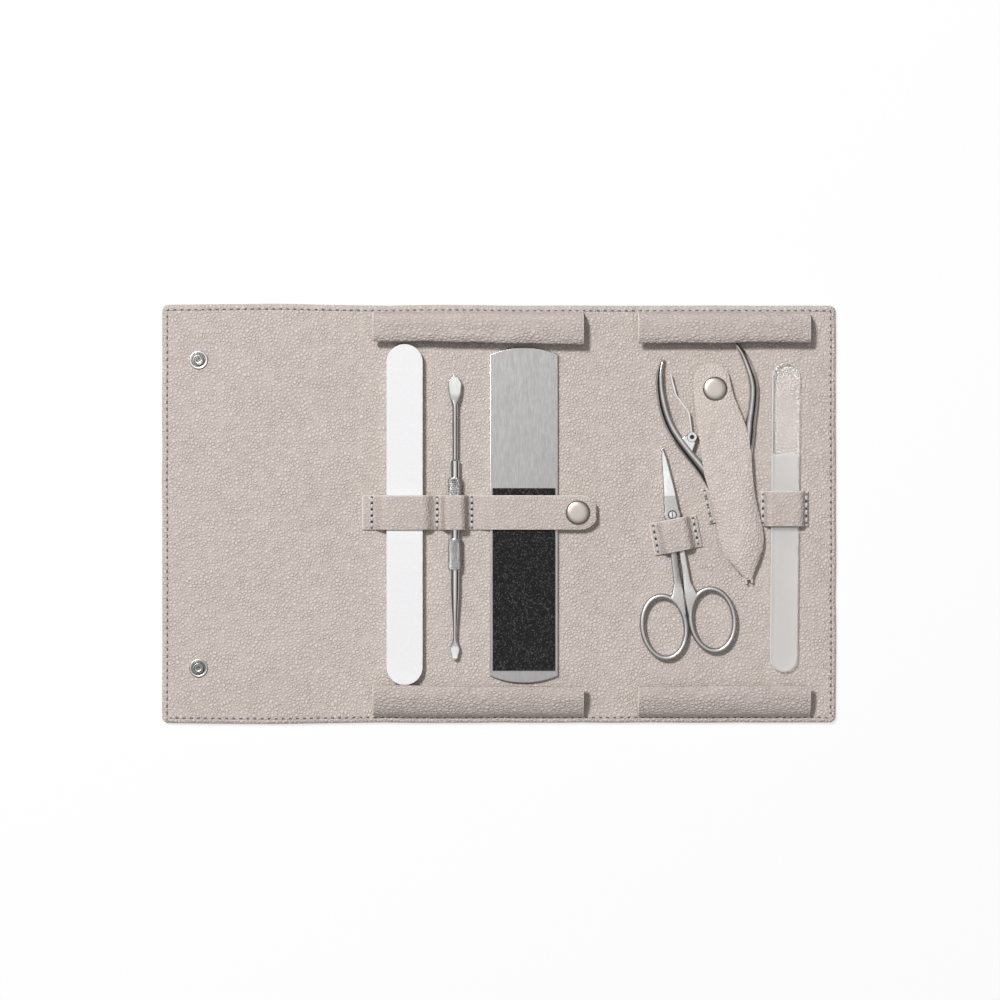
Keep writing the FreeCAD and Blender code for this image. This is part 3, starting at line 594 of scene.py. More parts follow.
def flowing(marks, v):
    """Values at v on a smooth curve through (v, values...) rows."""
    at = max(i for i in range(len(marks) - 1) if i == 0 or marks[i][0] <= v)
    a, b = marks[at], marks[at + 1]
    before, after = marks[max(at - 1, 0)], marks[min(at + 2, len(marks) - 1)]
    span = b[0] - a[0]
    t = (v - a[0]) / span
    found = []
    for p, q, r, w in zip(before[1:], a[1:], b[1:], after[1:]):
        leave = (r - p) / (b[0] - before[0]) * span
        reach = (w - q) / (after[0] - a[0]) * span
        found.append(q + leave * t + (3 * (r - q) - 2 * leave - reach) * t ** 2
                     + (leave + reach - 2 * (r - q)) * t ** 3)
    return found


def walked_length(path):
    """Distance walked at each point of a path."""
    marks = [0.0]
    for a, b in zip(path, path[1:]):
        marks.append(marks[-1] + (b - a).length)
    return marks


def headings(path):
    """Unit direction of a path at each of its points."""
    last = len(path) - 1
    return [(path[min(i + 1, last)] - path[max(i - 1, 0)]).normalized() for i in range(last + 1)]


def along(path, pitch):
    """Points and unit directions at an even pitch along a path."""
    total = walked_length(path)[-1]
    count = max(1, round(total / pitch))
    wanted = [(k + 0.5) * total / count for k in range(count)]
    found, walked = [], 0.0
    for a, b in zip(path, path[1:]):
        length = (b - a).length
        while wanted and length > 0 and wanted[0] <= walked + length:
            found.append((a.lerp(b, (wanted[0] - walked) / length), (b - a).normalized()))
            wanted.pop(0)
        walked += length
    return found


def rounded_path(points, bend, pitch):
    """Polyline with each corner eased by a curve that starts a bend's length before it."""
    points = [Vector(p) for p in points]
    path = [points[0]]
    for before, corner, after in zip(points, points[1:], points[2:]):
        into, out = before - corner, after - corner
        reach = min(bend, into.length * 0.5, out.length * 0.5)
        a, b = corner + into.normalized() * reach, corner + out.normalized() * reach
        for k in range(9):
            t = k / 8
            path.append(a * (1 - t) ** 2 + corner * 2 * t * (1 - t) + b * t * t)
    path.append(points[-1])
    dense = [path[0]]
    for a, b in zip(path, path[1:]):
        parts = max(1, math.ceil((b - a).length / pitch))
        dense += [a.lerp(b, (k + 1) / parts) for k in range(parts) if (b - a).length > 1e-6]
    return dense


def smooth_path(points, pitch):
    """Curve through points, with a sample every pitch or so."""
    points = [Vector(p) for p in points]
    padded = [points[0] * 2 - points[1], *points, points[-1] * 2 - points[-2]]
    path = []
    for a, b, c, d in zip(padded, padded[1:], padded[2:], padded[3:]):
        count = max(2, round((c - b).length / pitch))
        for k in range(count):
            t = k / count
            path.append(0.5 * (2 * b + (c - a) * t + (2 * a - 5 * b + 4 * c - d) * t * t
                               + (3 * b - a - 3 * c + d) * t ** 3))
    return path + [points[-1]]


def tube(total, count, flip=False):
    """Faces of a closed tube through rings of count vertices, its two ends last."""
    faces = []
    for a in range(0, total - count, count):
        for k in range(count):
            after = (k + 1) % count
            faces.append((a + k, a + count + k, a + count + after, a + after))
    faces += [tuple(range(count)), tuple(reversed(range(total - count, total)))]
    return [(face[0], *face[:0:-1]) for face in faces] if flip else faces


def lathe(name, profile, centres, materials, dark=(), sharp=40):
    """Turned piece from (radius, height) points at each centre; bands painted in shade take the second
    material.
    """
    verts, faces, slots = [], [], []
    for x, y in centres:
        rings = []
        for radius, z in profile:
            count = 1 if radius < 1e-6 else LATHE_SIDES
            rings.append(range(len(verts), len(verts) + count))
            for k in range(count):
                angle = 2 * math.pi * k / LATHE_SIDES
                verts.append((x + radius * math.cos(angle), y + radius * math.sin(angle), z))
        for band, (a, b) in enumerate(zip(rings, rings[1:])):
            for k in range(LATHE_SIDES):
                after = (k + 1) % LATHE_SIDES
                corners = [a[k % len(a)], a[after % len(a)], b[after % len(b)], b[k % len(b)]]
                faces.append(tuple(dict.fromkeys(corners)))
                slots.append(int(band in dark))
    return piece(name, verts, faces, materials, face_materials=slots, sharp=sharp)


def plate(name, outline, low, high, bevel, materials, top_slot=0):
    """Flat plate with eased edges from a plan outline of millimetre points."""
    shape = bmesh.new()
    base = shape.faces.new([shape.verts.new((x * MM, y * MM, low * MM)) for x, y in outline])
    raised = bmesh.ops.extrude_face_region(shape, geom=[base])["geom"]
    top = [v for v in raised if isinstance(v, bmesh.types.BMVert)]
    bmesh.ops.translate(shape, vec=(0, 0, (high - low) * MM), verts=top)
    bmesh.ops.recalc_face_normals(shape, faces=shape.faces)
    rims = [e for e in shape.edges if abs(e.verts[0].co.z - e.verts[1].co.z) < 1e-7]
    bmesh.ops.bevel(shape, geom=rims, offset=bevel * MM, segments=3, profile=0.5, affect="EDGES")
    broad = [f for f in shape.faces if abs(f.normal.z) > 0.99]
    bmesh.ops.inset_individual(shape, faces=broad, thickness=0.15 * MM)
    for face in shape.faces:
        if face.normal.z > 0.99:
            face.material_index = top_slot
    mesh = bpy.data.meshes.new(name)
    shape.to_mesh(mesh)
    shape.free()
    for material in materials:
        mesh.materials.append(material)
    mesh.shade_smooth()
    mesh.set_sharp_from_angle(angle=math.radians(35))
    return placed(name, mesh)


def frame_shape(node):
    """A frame node's mesh, welded and ready to edit."""
    shape = bmesh.new()
    shape.from_mesh(frame["nodes"][node].data)
    bmesh.ops.remove_doubles(shape, verts=shape.verts, dist=1e-6)
    return shape


def cut_across(shape, place, v, **options):
    """Cuts a shape straight across a tool's own plan, at a place along it."""
    parts = [*shape.verts, *shape.edges, *shape.faces]
    heading = place(0, 1, 0) - place(0, 0, 0)
    at = place(0, v, 0) * MM
    return bmesh.ops.bisect_plane(shape, geom=parts, plane_co=at, plane_no=heading, **options)


def rounded_bar(low, high, rise, count=24):
    """Outline of a bar whose two ends are arcs of the given rise."""
    half = (high[0] - low[0]) / 2
    middle = (low[0] + high[0]) / 2
    radius = (half * half + rise * rise) / (2 * rise)
    widest = math.asin(min(half / radius, 1))
    points = []
    for end, y in ((1, high[1]), (-1, low[1])):
        for k in range(count + 1):
            angle = widest * (1 - 2 * k / count) * end
            points.append((middle + radius * math.sin(angle), y - end * radius * (1 - math.cos(angle))))
    return points


def turned(origin, degrees):
    """Maps a point of a tool's own plan (sideways, lengthways, height) into the case."""
    place = Matrix.Translation(Vector(origin)) @ Matrix.Rotation(math.radians(degrees), 4, "Z")
    return lambda u, v, z: place @ Vector((u, v, z))


def tool_turn(joint):
    """Angle in degrees between a tool's slide and the case's width."""
    x, y, _ = JOINTS[joint]["axis"]
    return math.degrees(math.atan2(-x, y)) if y > 0 else math.degrees(math.atan2(x, -y))


class Sewing:
    """Collects stitches and needle holes into one mesh."""

    def __init__(self):
        self.verts, self.faces, self.slots = [], [], []

    def stitch(self, centre, direction, normal, length, radius):
        """One thread bump that dives into a needle hole at each end."""
        side = normal.cross(direction).normalized()
        rings = ((-0.5, 0.45, -0.9), (-0.38, 0.85, -0.15), (0.0, 1.0, 0.25), (0.38, 0.85, -0.15),
                 (0.5, 0.45, -0.9))
        first = len(self.verts)
        for place, thick, rise in rings:
            for k in range(6):
                angle = math.radians(60 * k)
                out = side * math.cos(angle) * thick + normal * (math.sin(angle) * thick + rise)
                self.verts.append(centre + direction * place * length + out * radius)
        for ring in range(len(rings) - 1):
            for k in range(6):
                a = first + ring * 6 + k
                b = first + ring * 6 + (k + 1) % 6
                self.faces.append((a, b, b + 6, a + 6))
                self.slots.append(0)
        for end in (-1, 1):
            self.hole(centre + direction * end * length * 0.54, direction, side, normal, radius * 1.15)

    def hole(self, centre, direction, side, normal, radius):
        """Needle hole as a flat dark disc on the leather: painted shade."""
        first = len(self.verts)
        for k in range(8):
            angle = math.radians(45 * k)
            out = (direction * math.cos(angle) + side * math.sin(angle)) * radius
            self.verts.append(centre + out + normal * 0.05)
        self.faces.append(tuple(range(first, first + 8)))
        self.slots.append(1)

    def row(self, first, last, count, length):
        """Strap stitches in a line from one place to another."""
        heading = (last - first).normalized()
        for k in range(count):
            self.stitch(first.lerp(last, k / (count - 1)), heading, UP, length, STITCH_RADIUS)

    def build(self, name, yarn):
        """The finished thread object."""
        materials = [yarn, leather("needle_hole")]
        return piece(name, self.verts, self.faces, materials, face_materials=self.slots)


# Case body


def edge_distance(x, y):
    """How far inside the case's rounded outline a plan point lies."""
    half_length = (CASE_HIGH[0] - CASE_LOW[0]) / 2
    beyond_x = abs(x - (CASE_LOW[0] + CASE_HIGH[0]) / 2) - half_length + CORNER_RADIUS
    beyond_y = abs(y) - CASE_HIGH[1] + CORNER_RADIUS
    outside = math.hypot(max(beyond_x, 0), max(beyond_y, 0))
    return CORNER_RADIUS - outside - min(max(beyond_x, beyond_y), 0)


def round_corner(x, y):
    """Moves a grid point of a corner square on to the corner's quarter disc."""
    inner_x = CASE_HIGH[0] - CORNER_RADIUS
    inner_y = CASE_HIGH[1] - CORNER_RADIUS
    a = (abs(x) - inner_x) / CORNER_RADIUS
    b = (abs(y) - inner_y) / CORNER_RADIUS
    if a <= 0 or b <= 0:
        return x, y
    new_x = inner_x + CORNER_RADIUS * a * math.sqrt(1 - b * b / 2)
    new_y = inner_y + CORNER_RADIUS * b * math.sqrt(1 - a * a / 2)
    return math.copysign(new_x, x), math.copysign(new_y, y)


def hand_cut(x, y):
    """Gentle wave of the case's cut outline."""
    near_y = smooth(abs(y), 45, CASE_HIGH[1])
    near_x = smooth(abs(x), 110, CASE_HIGH[0])
    bulge = 0.75 * bell(x, -103, 42) - 0.35 * bell(x, -30, 30)
    bulge += 0.25 * ripple(x, math.copysign(40, y), 26, 3.0)
    side = 0.45 * ripple(y, math.copysign(60, x), 34, 7.0)
    return x + math.copysign(side * near_x, x), y + math.copysign(bulge * near_y, y)


def socket_recess(x, y):
    """How deep the cover is cut away for the closing sockets."""
    away = min(math.hypot(x - SOCKET_X, y - at) for at in SOCKET_Y)
    return SOCKET_DEPTH * (1 - smooth(away, SOCKET_RADIUS - 0.9, SOCKET_RADIUS - 0.2))


def skin_height(x, y, upper):
    """Height of the lining face or the cover face at a plan point."""
    inset = looks()[0].seam_inset / MM
    d = max(edge_distance(x, y), 0.0)
    half = LINING_TOP / 2
    turn = math.sqrt(1 - (1 - min(d / TURNED_EDGE, 1)) ** 2)
    dip = 0.16 * bell(d, inset, 0.6) * turn + 0.07 * (1 + ripple(x, y, 34, 1.0))
    fold = sum(0.10 * bell(x, crease, 1.4) for crease in CREASES.values())
    dip += fold if upper else socket_recess(x, y)
    return half + turn * (half - dip) if upper else half - turn * (half - dip)


def case_fields():
    """The four skins: name, two bodies, side limits, the bend's start and end, fields they cover."""
    left, right = CASE_LOW[0], CASE_HIGH[0]
    outer_left, inner_left = CREASES["left_flap_fold"], CREASES["left_fold"]
    inner_right, outer_right = CREASES["right_fold"], CREASES["right_panel_fold"]
    left_mid = (outer_left + inner_left) / 2
    middle = (inner_left + inner_right) / 2
    right_mid = (inner_right + outer_right) / 2
    return [
        ("left_flap_skin", "left_flap", "left_spine", left, left_mid,
         (outer_left - 2.5, outer_left + 2.5), ["left_flap"]),
        ("left_spine_skin", "left_spine", "centre_panel", left_mid, middle,
         (inner_left - 2.6, inner_left + 1.2), ["left_spine"]),
        ("right_spine_skin", "centre_panel", "right_spine", middle, right_mid,
         (inner_right - 1.0, inner_right + 2.6), ["right_spine", "centre"]),
        ("right_panel_skin", "right_spine", "right_panel", right_mid, right,
         (outer_right - 2.6, outer_right + 0.8), ["right_panel"]),
    ]


def skin_grid(low, high, bends):
    """Grid lines along and across a skin, close together at edges, creases and sockets."""
    top = CASE_HIGH[1]
    x_spans = [(low, high, GRID_PITCH), (bends[0] - 1, bends[1] + 1, 0.45)]
    y_spans = [(-top, top, GRID_PITCH), (-top, FINE_BAND - top, FINE_PITCH),
               (top - FINE_BAND, top, FINE_PITCH)]
    if low == CASE_LOW[0]:
        x_spans.append((low, low + FINE_BAND, FINE_PITCH))
    if high == CASE_HIGH[0]:
        x_spans.append((high - FINE_BAND, high, FINE_PITCH))
    if low < SOCKET_X < high:
        x_spans.append((SOCKET_X - SOCKET_RADIUS, SOCKET_X + SOCKET_RADIUS, FINE_PITCH))
        y_spans += [(y - SOCKET_RADIUS, y + SOCKET_RADIUS, FINE_PITCH) for y in SOCKET_Y]
    return spread(*x_spans), spread(*y_spans)


def case_skin(name, low, high, bends):
    """Cover, board and lining as one closed skin, open where it meets the next skin."""
    xs, ys = skin_grid(low, high, bends)
    verts, faces, uvs = [], [], []
    index = {}
    for upper in (True, False):
        for i, x in enumerate(xs):
            for j, y in enumerate(ys):
                rim = x in (CASE_LOW[0], CASE_HIGH[0]) or abs(y) == CASE_HIGH[1]
                if not upper and rim:
                    index[upper, i, j] = index[True, i, j]
                    continue
                flat_x, flat_y = round_corner(x, y)
                index[upper, i, j] = len(verts)
                verts.append((*hand_cut(flat_x, flat_y), skin_height(flat_x, flat_y, upper)))
                uvs.append((flat_x * MM / UV_UNIT, flat_y * MM / UV_UNIT + (0 if upper else 4)))
        for i in range(len(xs) - 1):
            for j in range(len(ys) - 1):
                quad = [index[upper, *at] for at in ((i, j), (i + 1, j), (i + 1, j + 1), (i, j + 1))]
                faces.append(quad if upper else quad[::-1])
    return piece(name, verts, faces, [leather("pebbled_leather")], uvs)


def seam_places(pitch, inset):
    """Plan points and directions evenly along the perimeter seam."""
    radius = CORNER_RADIUS - inset
    x = (CASE_HIGH[0] - CASE_LOW[0]) / 2 - CORNER_RADIUS
    y = CASE_HIGH[1] - CORNER_RADIUS
    path = []
    for corner_x, corner_y, start in ((x, y, 0), (-x, y, 90), (-x, -y, 180), (x, -y, 270)):
        for turn in range(0, 91, 15):
            angle = math.radians(start + turn)
            path.append(Vector((corner_x + radius * math.cos(angle), corner_y + radius * math.sin(angle))))
    return along(path + path[:1], pitch)


def sew_perimeter(low, high):
    """Stitches of the perimeter seam between two places along the case, on both faces."""
    case = looks()[0]
    sewing = Sewing()
    for place, direction in seam_places(case.stitch_pitch / MM, case.seam_inset / MM):
        if not low <= place.x < high:
            continue
        x, y = hand_cut(place.x, place.y)
        heading = Vector((*direction, 0))
        upper = skin_height(place.x, place.y, True)
        sewing.stitch(Vector((x, y, upper + 0.08)), heading, UP, 2.25, 0.36)
        lower = skin_height(place.x, place.y, False)
        sewing.stitch(Vector((x, y, lower - 0.06)), heading, -UP, 2.25, 0.30)
    return sewing


def build_case():
    """Four skins with their perimeter stitching, each with a closer grid and a shallow fold line at its own
    crease.
    """
    yarn = thread("seam_thread", looks()[0].thread)
    for name, first, second, low, high, bends, fields in case_fields():
        skin = case_skin(name, low, high, bends)
        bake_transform(skin)
        nodes = [layer + field for field in fields for layer in ("cover_", "interlining_", "lining_")]
        settle(skin, nodes=nodes)
        sewn = sew_perimeter(low, high).build(name.replace("skin", "seam"), yarn)
        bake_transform(sewn)
        settle(sewn)


# Leather furniture


def strap_section(half, thick, across=8):
    """Ring of (sideways, outward, is_edge) points of a flat strap with softened edges."""
    flat = half - STRAP_ROUNDING
    ring = [(-flat + 2 * flat * k / across, thick / 2, False) for k in range(across + 1)]
    ring += [(flat + STRAP_ROUNDING * math.sin(a), thick / 2 * math.cos(a), True)
             for a in (math.pi * k / 6 for k in range(1, 6))]
    return ring + [(-s, -n, e) for s, n, e in ring]


def ribbon(name, path, side, half_width, raw=0.8):
    """Leather strap along a path with a skived raw start; half_width depends on the distance walked."""
    side = Vector(side)
    marks = walked_length(path)
    verts, uvs = [], []
    for at, ahead, mark in zip(path, headings(path), marks):
        normal = side.cross(ahead).normalized()
        if normal.z < 0:
            normal = -normal
        slim = STRAP_THICK * (0.72 + 0.28 * smooth(min(mark, marks[-1] - mark), 0, 0.5))
        for s, n, _ in strap_section(half_width(mark), slim):
            verts.append(at + side * s + normal * n)
            uvs.append((mark * MM / UV_UNIT, (s + (0 if n > 0 else 200)) * MM / UV_UNIT))
    edges = [edge for _, _, edge in strap_section(1, STRAP_THICK)]
    pairs = list(zip(edges, edges[1:] + edges[:1]))
    slots = [int(a or b or mark <= raw) for mark in marks[1:] for a, b in pairs] + [1, 1]
    faces = tube(len(verts), len(edges))
    return piece(name, verts, faces, cut_leather("strap_leather"), uvs, slots, sharp=50)


def flap_section(depth, lift, full, rolled):
    """Closed outline of an end flap's section as (inward from the seam, height over the lining) points."""
    path = rounded_path([(*at, 0) for at in (ROLLED_FLAP if rolled else ARCHED_FLAP)], 2.0, 0.7)
    for at in path:
        at.y *= 1 + (lift - 1) * smooth(at.x, 2, 7)
        at.x *= 1 + (depth - 1) * smooth(at.x, 3, 12)
    outer, inner = [], []
    for at, ahead in zip(path, headings(path)):
        normal = Vector((-ahead.y, ahead.x, 0))
        thick = (SEAM_THICK + (FLAP_THICK - SEAM_THICK) * smooth(at.x, -0.6, 2.6)) * full
        outer.append(at + normal * thick / 2)
        inner.append(at - normal * thick / 2)
    nose = []
    for angle in (math.radians(turn) for turn in (60, 30, 0, -30, -60)):
        nose.append(path[-1] + (ahead * math.cos(angle) + normal * math.sin(angle)) * thick / 2)
    return outer + nose + inner[::-1]


def end_flap(name, slant):
    """Doubled leather flap, sewn flat at the case's edge and arched over the tools' ends."""
    low, high = node_box("end_flap_" + name)
    left, right = low[0], high[0]
    joint = JOINTS[name + "_flap_turn"]
    seam = abs(joint["pos_m"][1]) / MM
    away = math.copysign(1, joint["pos_m"][1])
    xs = spread((left, left + FLAP_END, 0.2), (left + FLAP_END, right - FLAP_END, 2.0),
                (right - FLAP_END, right, 0.2))
    verts, uvs = [], []
    for x in xs:
        end = min(x - left, right - x)
        full = 0.72 + 0.28 * math.sqrt(1 - (1 - min(end / FLAP_END, 1)) ** 2)
        depth = 1 + 0.030 * ripple(x, 10 * away, 17, 11.0)
        depth += slant * (x - (left + right) / 2) / (right - left)
        lift = 1 + 0.035 * ripple(x, 30 * away, 21, 5.0)
        outline = flap_section(depth, lift, full, away < 0)
        for at, mark in zip(outline, walked_length(outline)):
            _, y = hand_cut(x, away * (seam - at.x))
            verts.append((x, y, LINING_TOP + 0.02 + at.y))
            uvs.append((0.75 * x * MM / UV_UNIT, (mark + 300 * away) * MM / UV_UNIT))
    faces = tube(len(verts), len(outline), away > 0)
    slots = [int(x < left + 0.3 or x > right - 0.5) for x in xs[:-1] for _ in outline] + [1, 1]
    made = piece("flap_" + name, verts, faces, cut_leather("flap_leather"), uvs, slots, sharp=55)
    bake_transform(made)
    settle(made, nodes=["end_flap_" + name])


def build_end_flaps():
    """The four end flaps."""
    for name, slant in FLAP_SLANT.items():
        end_flap(name, slant)


def file_strap():
    """Long strap: loops over the nail file and the pusher, then a free tail with a round nose."""
    low, high = node_box("file_strap")
    tip = node_box("file_strap_tail")[1][0]
    file_low, file_high = node_box("nail_file_front_grit")
    middle = middle_of("cuticle_pusher")[0]
    over_file = file_high[2] - LINING_TOP + 0.9
    over_rod = 6.45
    over_foot = 3.4
    route = [(low[0], TAB_RISE), (file_low[0] - 4.85, TAB_RISE), (file_low[0] - 1.25, over_file),
             (file_high[0] + 1.25, over_file), (file_high[0] + 4.85, TAB_RISE), (middle - 5.85, TAB_RISE),
             (middle - 3.55, over_rod), (middle + 3.55, over_rod), (middle + 5.85, TAB_RISE),
             (middle + 12.65, TAB_RISE), (middle + 16.25, over_foot), (tip, over_foot)]
    centre = (low[1] + high[1]) / 2
    half = (high[1] - low[1]) / 2
    path = rounded_path([(x, centre, LINING_TOP + h) for x, h in route], 1.7, 0.6)
    turns = [math.radians(degrees) for degrees in range(0, 88, 6)]
    nose = [Vector((tip - half + half * math.sin(turn), centre, path[-1].z)) for turn in turns]
    path = [at for at in path if at.x < tip - half] + nose
    nose_start = next(mark for mark, at in zip(walked_length(path), path) if at.x >= tip - half)

    def half_width(walked):
        past = max(walked - nose_start, 0) / half
        return max(half * math.sqrt(max(1 - past * past, 0)), 0.6)

    made = ribbon("file_strap_leather", path, (0, 1, 0), half_width)
    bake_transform(made)
    settle(made, nodes=["file_strap", "file_strap_tail"])
    sewing = Sewing()
    top = LINING_TOP + TAB_RISE + STRAP_THICK / 2 + 0.12
    for x in (low[0] + 4.3, file_high[0] + 6.3, middle + 7.5):
        sewing.row(Vector((x, centre - 5.5, top)), Vector((x, centre + 5.5, top)), 5, 2.1)
    settle(sewing.build("file_strap_seams", strap_yarn()), "centre_panel")


def holding_loop(name, node, place, half, route):
    """Short loop over a tool, sewn down by a tab on each side."""
    crossing = [(-u, h) for u, h in route] + [(u, h) for u, h in reversed(route)]
    path = rounded_path([place(u, 0, LINING_TOP + h) for u, h in crossing], 1.6, 0.5)
    side = (place(0, 1, 0) - place(0, 0, 0)).normalized()
    made = ribbon(name, path, side, lambda walked: half)
    settle(made, "right_panel", [node])
    sewing = Sewing()
    seam = (route[0][0] + route[1][0]) / 2
    pitch = 2 * (half - 1.3) / LOOP_STITCHES
    reach = pitch * (LOOP_STITCHES - 1) / 2
    top = LINING_TOP + TAB_RISE + STRAP_THICK / 2 + 0.1
    for end in (-1, 1):
        first, last = (place(end * seam, v, top) for v in (-reach, reach))
        sewing.row(first, last, LOOP_STITCHES, pitch * 0.72)
    settle(sewing.build(name + "_seams", strap_yarn()), "right_panel")


def holding_loops():
    """Loops that hold the glass file and the scissors' shanks."""
    low, high = node_box("glass_file_loop")
    x, y, reach = middle_of("glass_file_loop")
    holding_loop("glass_loop", "glass_file_loop", turned((x, y, 0), 0), (high[1] - low[1]) / 2,
                 [(reach, TAB_RISE), (8.75, TAB_RISE), (7.05, 3.95)])
    x, y, _ = middle_of("scissors_loop")
    place = turned((x, y, 0), SCISSORS_LOOP_TURN)
    holding_loop("scissors_strap", "scissors_loop", place, SCISSORS_LOOP_HALF,
                 [(10.6, TAB_RISE), (7.3, TAB_RISE), (4.9, 4.74)])


def holder_place():
    """The nipper holder's own plan, from the nippers' pivot and slide."""
    pivot = JOINTS["nipper_squeeze"]["pos_m"]
    return turned((pivot[0] / MM, pivot[1] / MM, 0), tool_turn("nipper_slide"))


def holder_leaf(place):
    """Points, flat pattern and stations of the holder's leaf; each ring runs over and back under it."""
    rows = [(-23.6, -1.2, 1.0, 2.6, 2.2), (-19.5, -4.1, 3.6, 3.5, 2.7), (-15.2, -6.5, 6.4, 4.2, 2.9),
            (-9.9, -8.8, 9.0, 4.8, 2.9), (-4.0, -9.4, 10.1, 5.1, 2.6), (5.5, -9.2, 10.0, 5.2, 2.6),
            (12.5, -9.2, 10.0, 5.1, 3.6), (18.6, -9.3, 10.4, 4.9, 4.3), (24.4, -9.9, 11.2, 4.75, 4.5),
            (32.8, -9.5, 12.3, 4.7, 4.55), (40.5, -8.8, 12.6, 4.6, 4.5), (45.5, -8.5, 12.0, 4.5, 4.4),
            (50.2, -8.1, 11.1, 4.35, 4.25), (57.4, -7.3, 10.1, 3.6, 3.55), (65.3, -5.9, 9.9, 3.4, 3.4)]
    nose_centre, nose_radius = 65.3, 7.9
    stations = spread((-23.6, nose_centre, 1.0))
    stations += [nose_centre + nose_radius * math.sin(math.radians(a)) for a in range(8, 88, 8)]
    across = 16
    over = [(2 * k / across - 1, 1) for k in range(across + 1)]
    verts, uvs = [], []
    for v in stations:
        left, right, crown, edge = flowing(rows, min(v, nose_centre))
        middle, half = (left + right) / 2, (right - left) / 2
        if v > nose_centre:
            half = math.sqrt(max(nose_radius ** 2 - (v - nose_centre) ** 2, 0.3))
        for s, face in over + [(s, -1) for s, _ in reversed(over)]:
            u = middle + half * (s if face > 0 else s * 0.985)
            soft = math.sqrt(max(1 - abs(s) ** 14, 0))
            z = edge + (crown - edge) * (1 - abs(s) ** 2.4)
            z += face * 0.5 * STRAP_THICK * (0.35 + 0.65 * soft) + 0.10 * ripple(u, v, 14, 2.0)
            verts.append(place(u, v, LINING_TOP + z))
            uvs.append((v * MM / UV_UNIT, (u + (0 if face > 0 else 100)) * MM / UV_UNIT))
    return verts, uvs, stations, across


def nipper_holder():
    """One leather leaf: a pointed sheath over the jaws that runs on into the tongue with its snap."""
    place = holder_place()
    heading = place(0, 1, 0) - place(0, 0, 0)
    verts, uvs, stations, across = holder_leaf(place)
    ring = 2 * (across + 1)
    slots = [int(k in (across, ring - 1)) for _ in stations[:-1] for k in range(ring)] + [1, 1]
    faces = tube(len(verts), ring, True)
    made = piece("nipper_holder_leaf", verts, faces, cut_leather("holder_leather"), uvs, slots, sharp=60)
    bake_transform(made)
    settle(made, nodes=["nipper_sheath", "nipper_tongue"])
    side = heading.normalized()
    low, high, reach = 4.0, 19.5, 12.4
    route = ((reach, TAB_RISE), (8.0, TAB_RISE + 0.2))
    tab = [place(-u, (low + high) / 2, LINING_TOP + h) for u, h in route]
    made = ribbon("holder_wing_left", rounded_path(tab, 1, 0.5), side, lambda walked: (high - low) / 2, 0.0)
    settle(made, "right_panel")
    sewing = Sewing()
    first, last = (place(1.3 - reach, v, LINING_TOP + TAB_RISE + 0.72) for v in (low + 2, high - 2))
    sewing.row(first, last, LOOP_STITCHES, 2.3)
    settle(sewing.build("holder_seams", strap_yarn()), "right_panel")


# Snaps


def snap_cap(name, node, body):
    """Rolled-rim cap with a shallow dome."""
    x, y, radius = middle_of(node)
    top = node_box(node)[1][2]
    floor = LINING_TOP + CAP_FLOOR
    shoulder = floor + 0.3
    profile = [(radius - 0.3, floor - 0.05), (radius - 0.02, floor), (radius, floor + 0.25)]
    for k in range(14):
        r = radius * math.cos(math.radians(90 * k / 13))
        profile.append((r, shoulder + (top - shoulder) * max(1 - (r / radius) ** 5.0, 0) ** 0.55))
    made = lathe(name, profile, [(x, y)], [metal("snap_nickel")], sharp=35)
    settle(made, body, [node])


def closing_studs():
    """Two studs with stepped flanges and hollow posts inside the left flap, and their rivets."""
    x, _, radius = middle_of("closing_studs")
    reach = node_box("closing_studs")[1][1] - radius
    rise = [(1.0, -0.05), (1.0, 0.25), (0.96, 0.42), (0.91, 0.46), (0.79, 0.46), (0.74, 0.36), (0.70, 0.10),
            (0.58, 0.08), (0.545, 0.25), (0.54, 1.2), (0.53, 1.4), (0.50, 1.5), (0.46, 1.48), (0.44, 1.3),
            (0.40, 1.0)]
    core = [(0.41, 0.6), (0.40, 1.15), (0.37, 1.3), (0.24, 1.3), (0.20, 1.15), (0.17, 0.9), (0.0, 0.85)]
    # Grooves between the rings and the rivets' side and centre hole take the darker steel: painted shade.
    metals = [metal("stud_steel"), metal("stud_groove")]
    for name, node, outline, painted_shade_bands in (("left_flap_studs", "closing_studs", rise, (6, 12, 13)),
                                         ("left_flap_rivets", "closing_stud_rivets", core, (0, 5, 6))):
        profile = [(radius * r, LINING_TOP + z) for r, z in outline]
        made = lathe(name, profile, [(x, reach), (x, -reach)], metals, painted_shade_bands, sharp=50)
        settle(made, "left_flap", [node])


def build_snaps():
    """Caps, studs, sockets, rivets and eyelets."""
    snap_cap("strap_cap", "strap_snap_cap", "strap_tail")
    snap_cap("tongue_cap", "nipper_snap_cap", "tongue")
    closing_studs()
    parts = ("stud", "rivet", "socket")
    hidden = [snap + part for snap in ("strap_snap_", "nipper_snap_") for part in parts]
    dress(metal("snap_nickel"), *hidden, "closing_sockets", "closing_socket_eyelets")


# Tools


def nail_file():
    """Foam file with a white grit face on each side and eased rims."""
    white = grit("white_grit", 3800.0, looks()[1].white_grit, (0.86, 0.86, 0.87), 0.5, (0.05, 0.0001),
                 specular_ior_level=0.25)
    foam = grit("file_foam", 2500.0, (0.80, 0.80, 0.80), (0.7, 0.7, 0.7), 0.6, (0.2, 0.0001))
    for name, slot, material, ease in (("front_grit", "white_grit", white, 0.22),
                                       ("core", "file_core", foam, 0.08),
                                       ("back_grit", "white_grit", white, 0.22)):
        low, high = node_box("nail_file_" + name)
        outline = rounded_bar(low, high, (high[0] - low[0]) / 2 * 0.96)
        made = plate("file_" + name, outline, low[2], high[2], ease, [material])
        settle(made, "nail_file", ["nail_file_" + name])


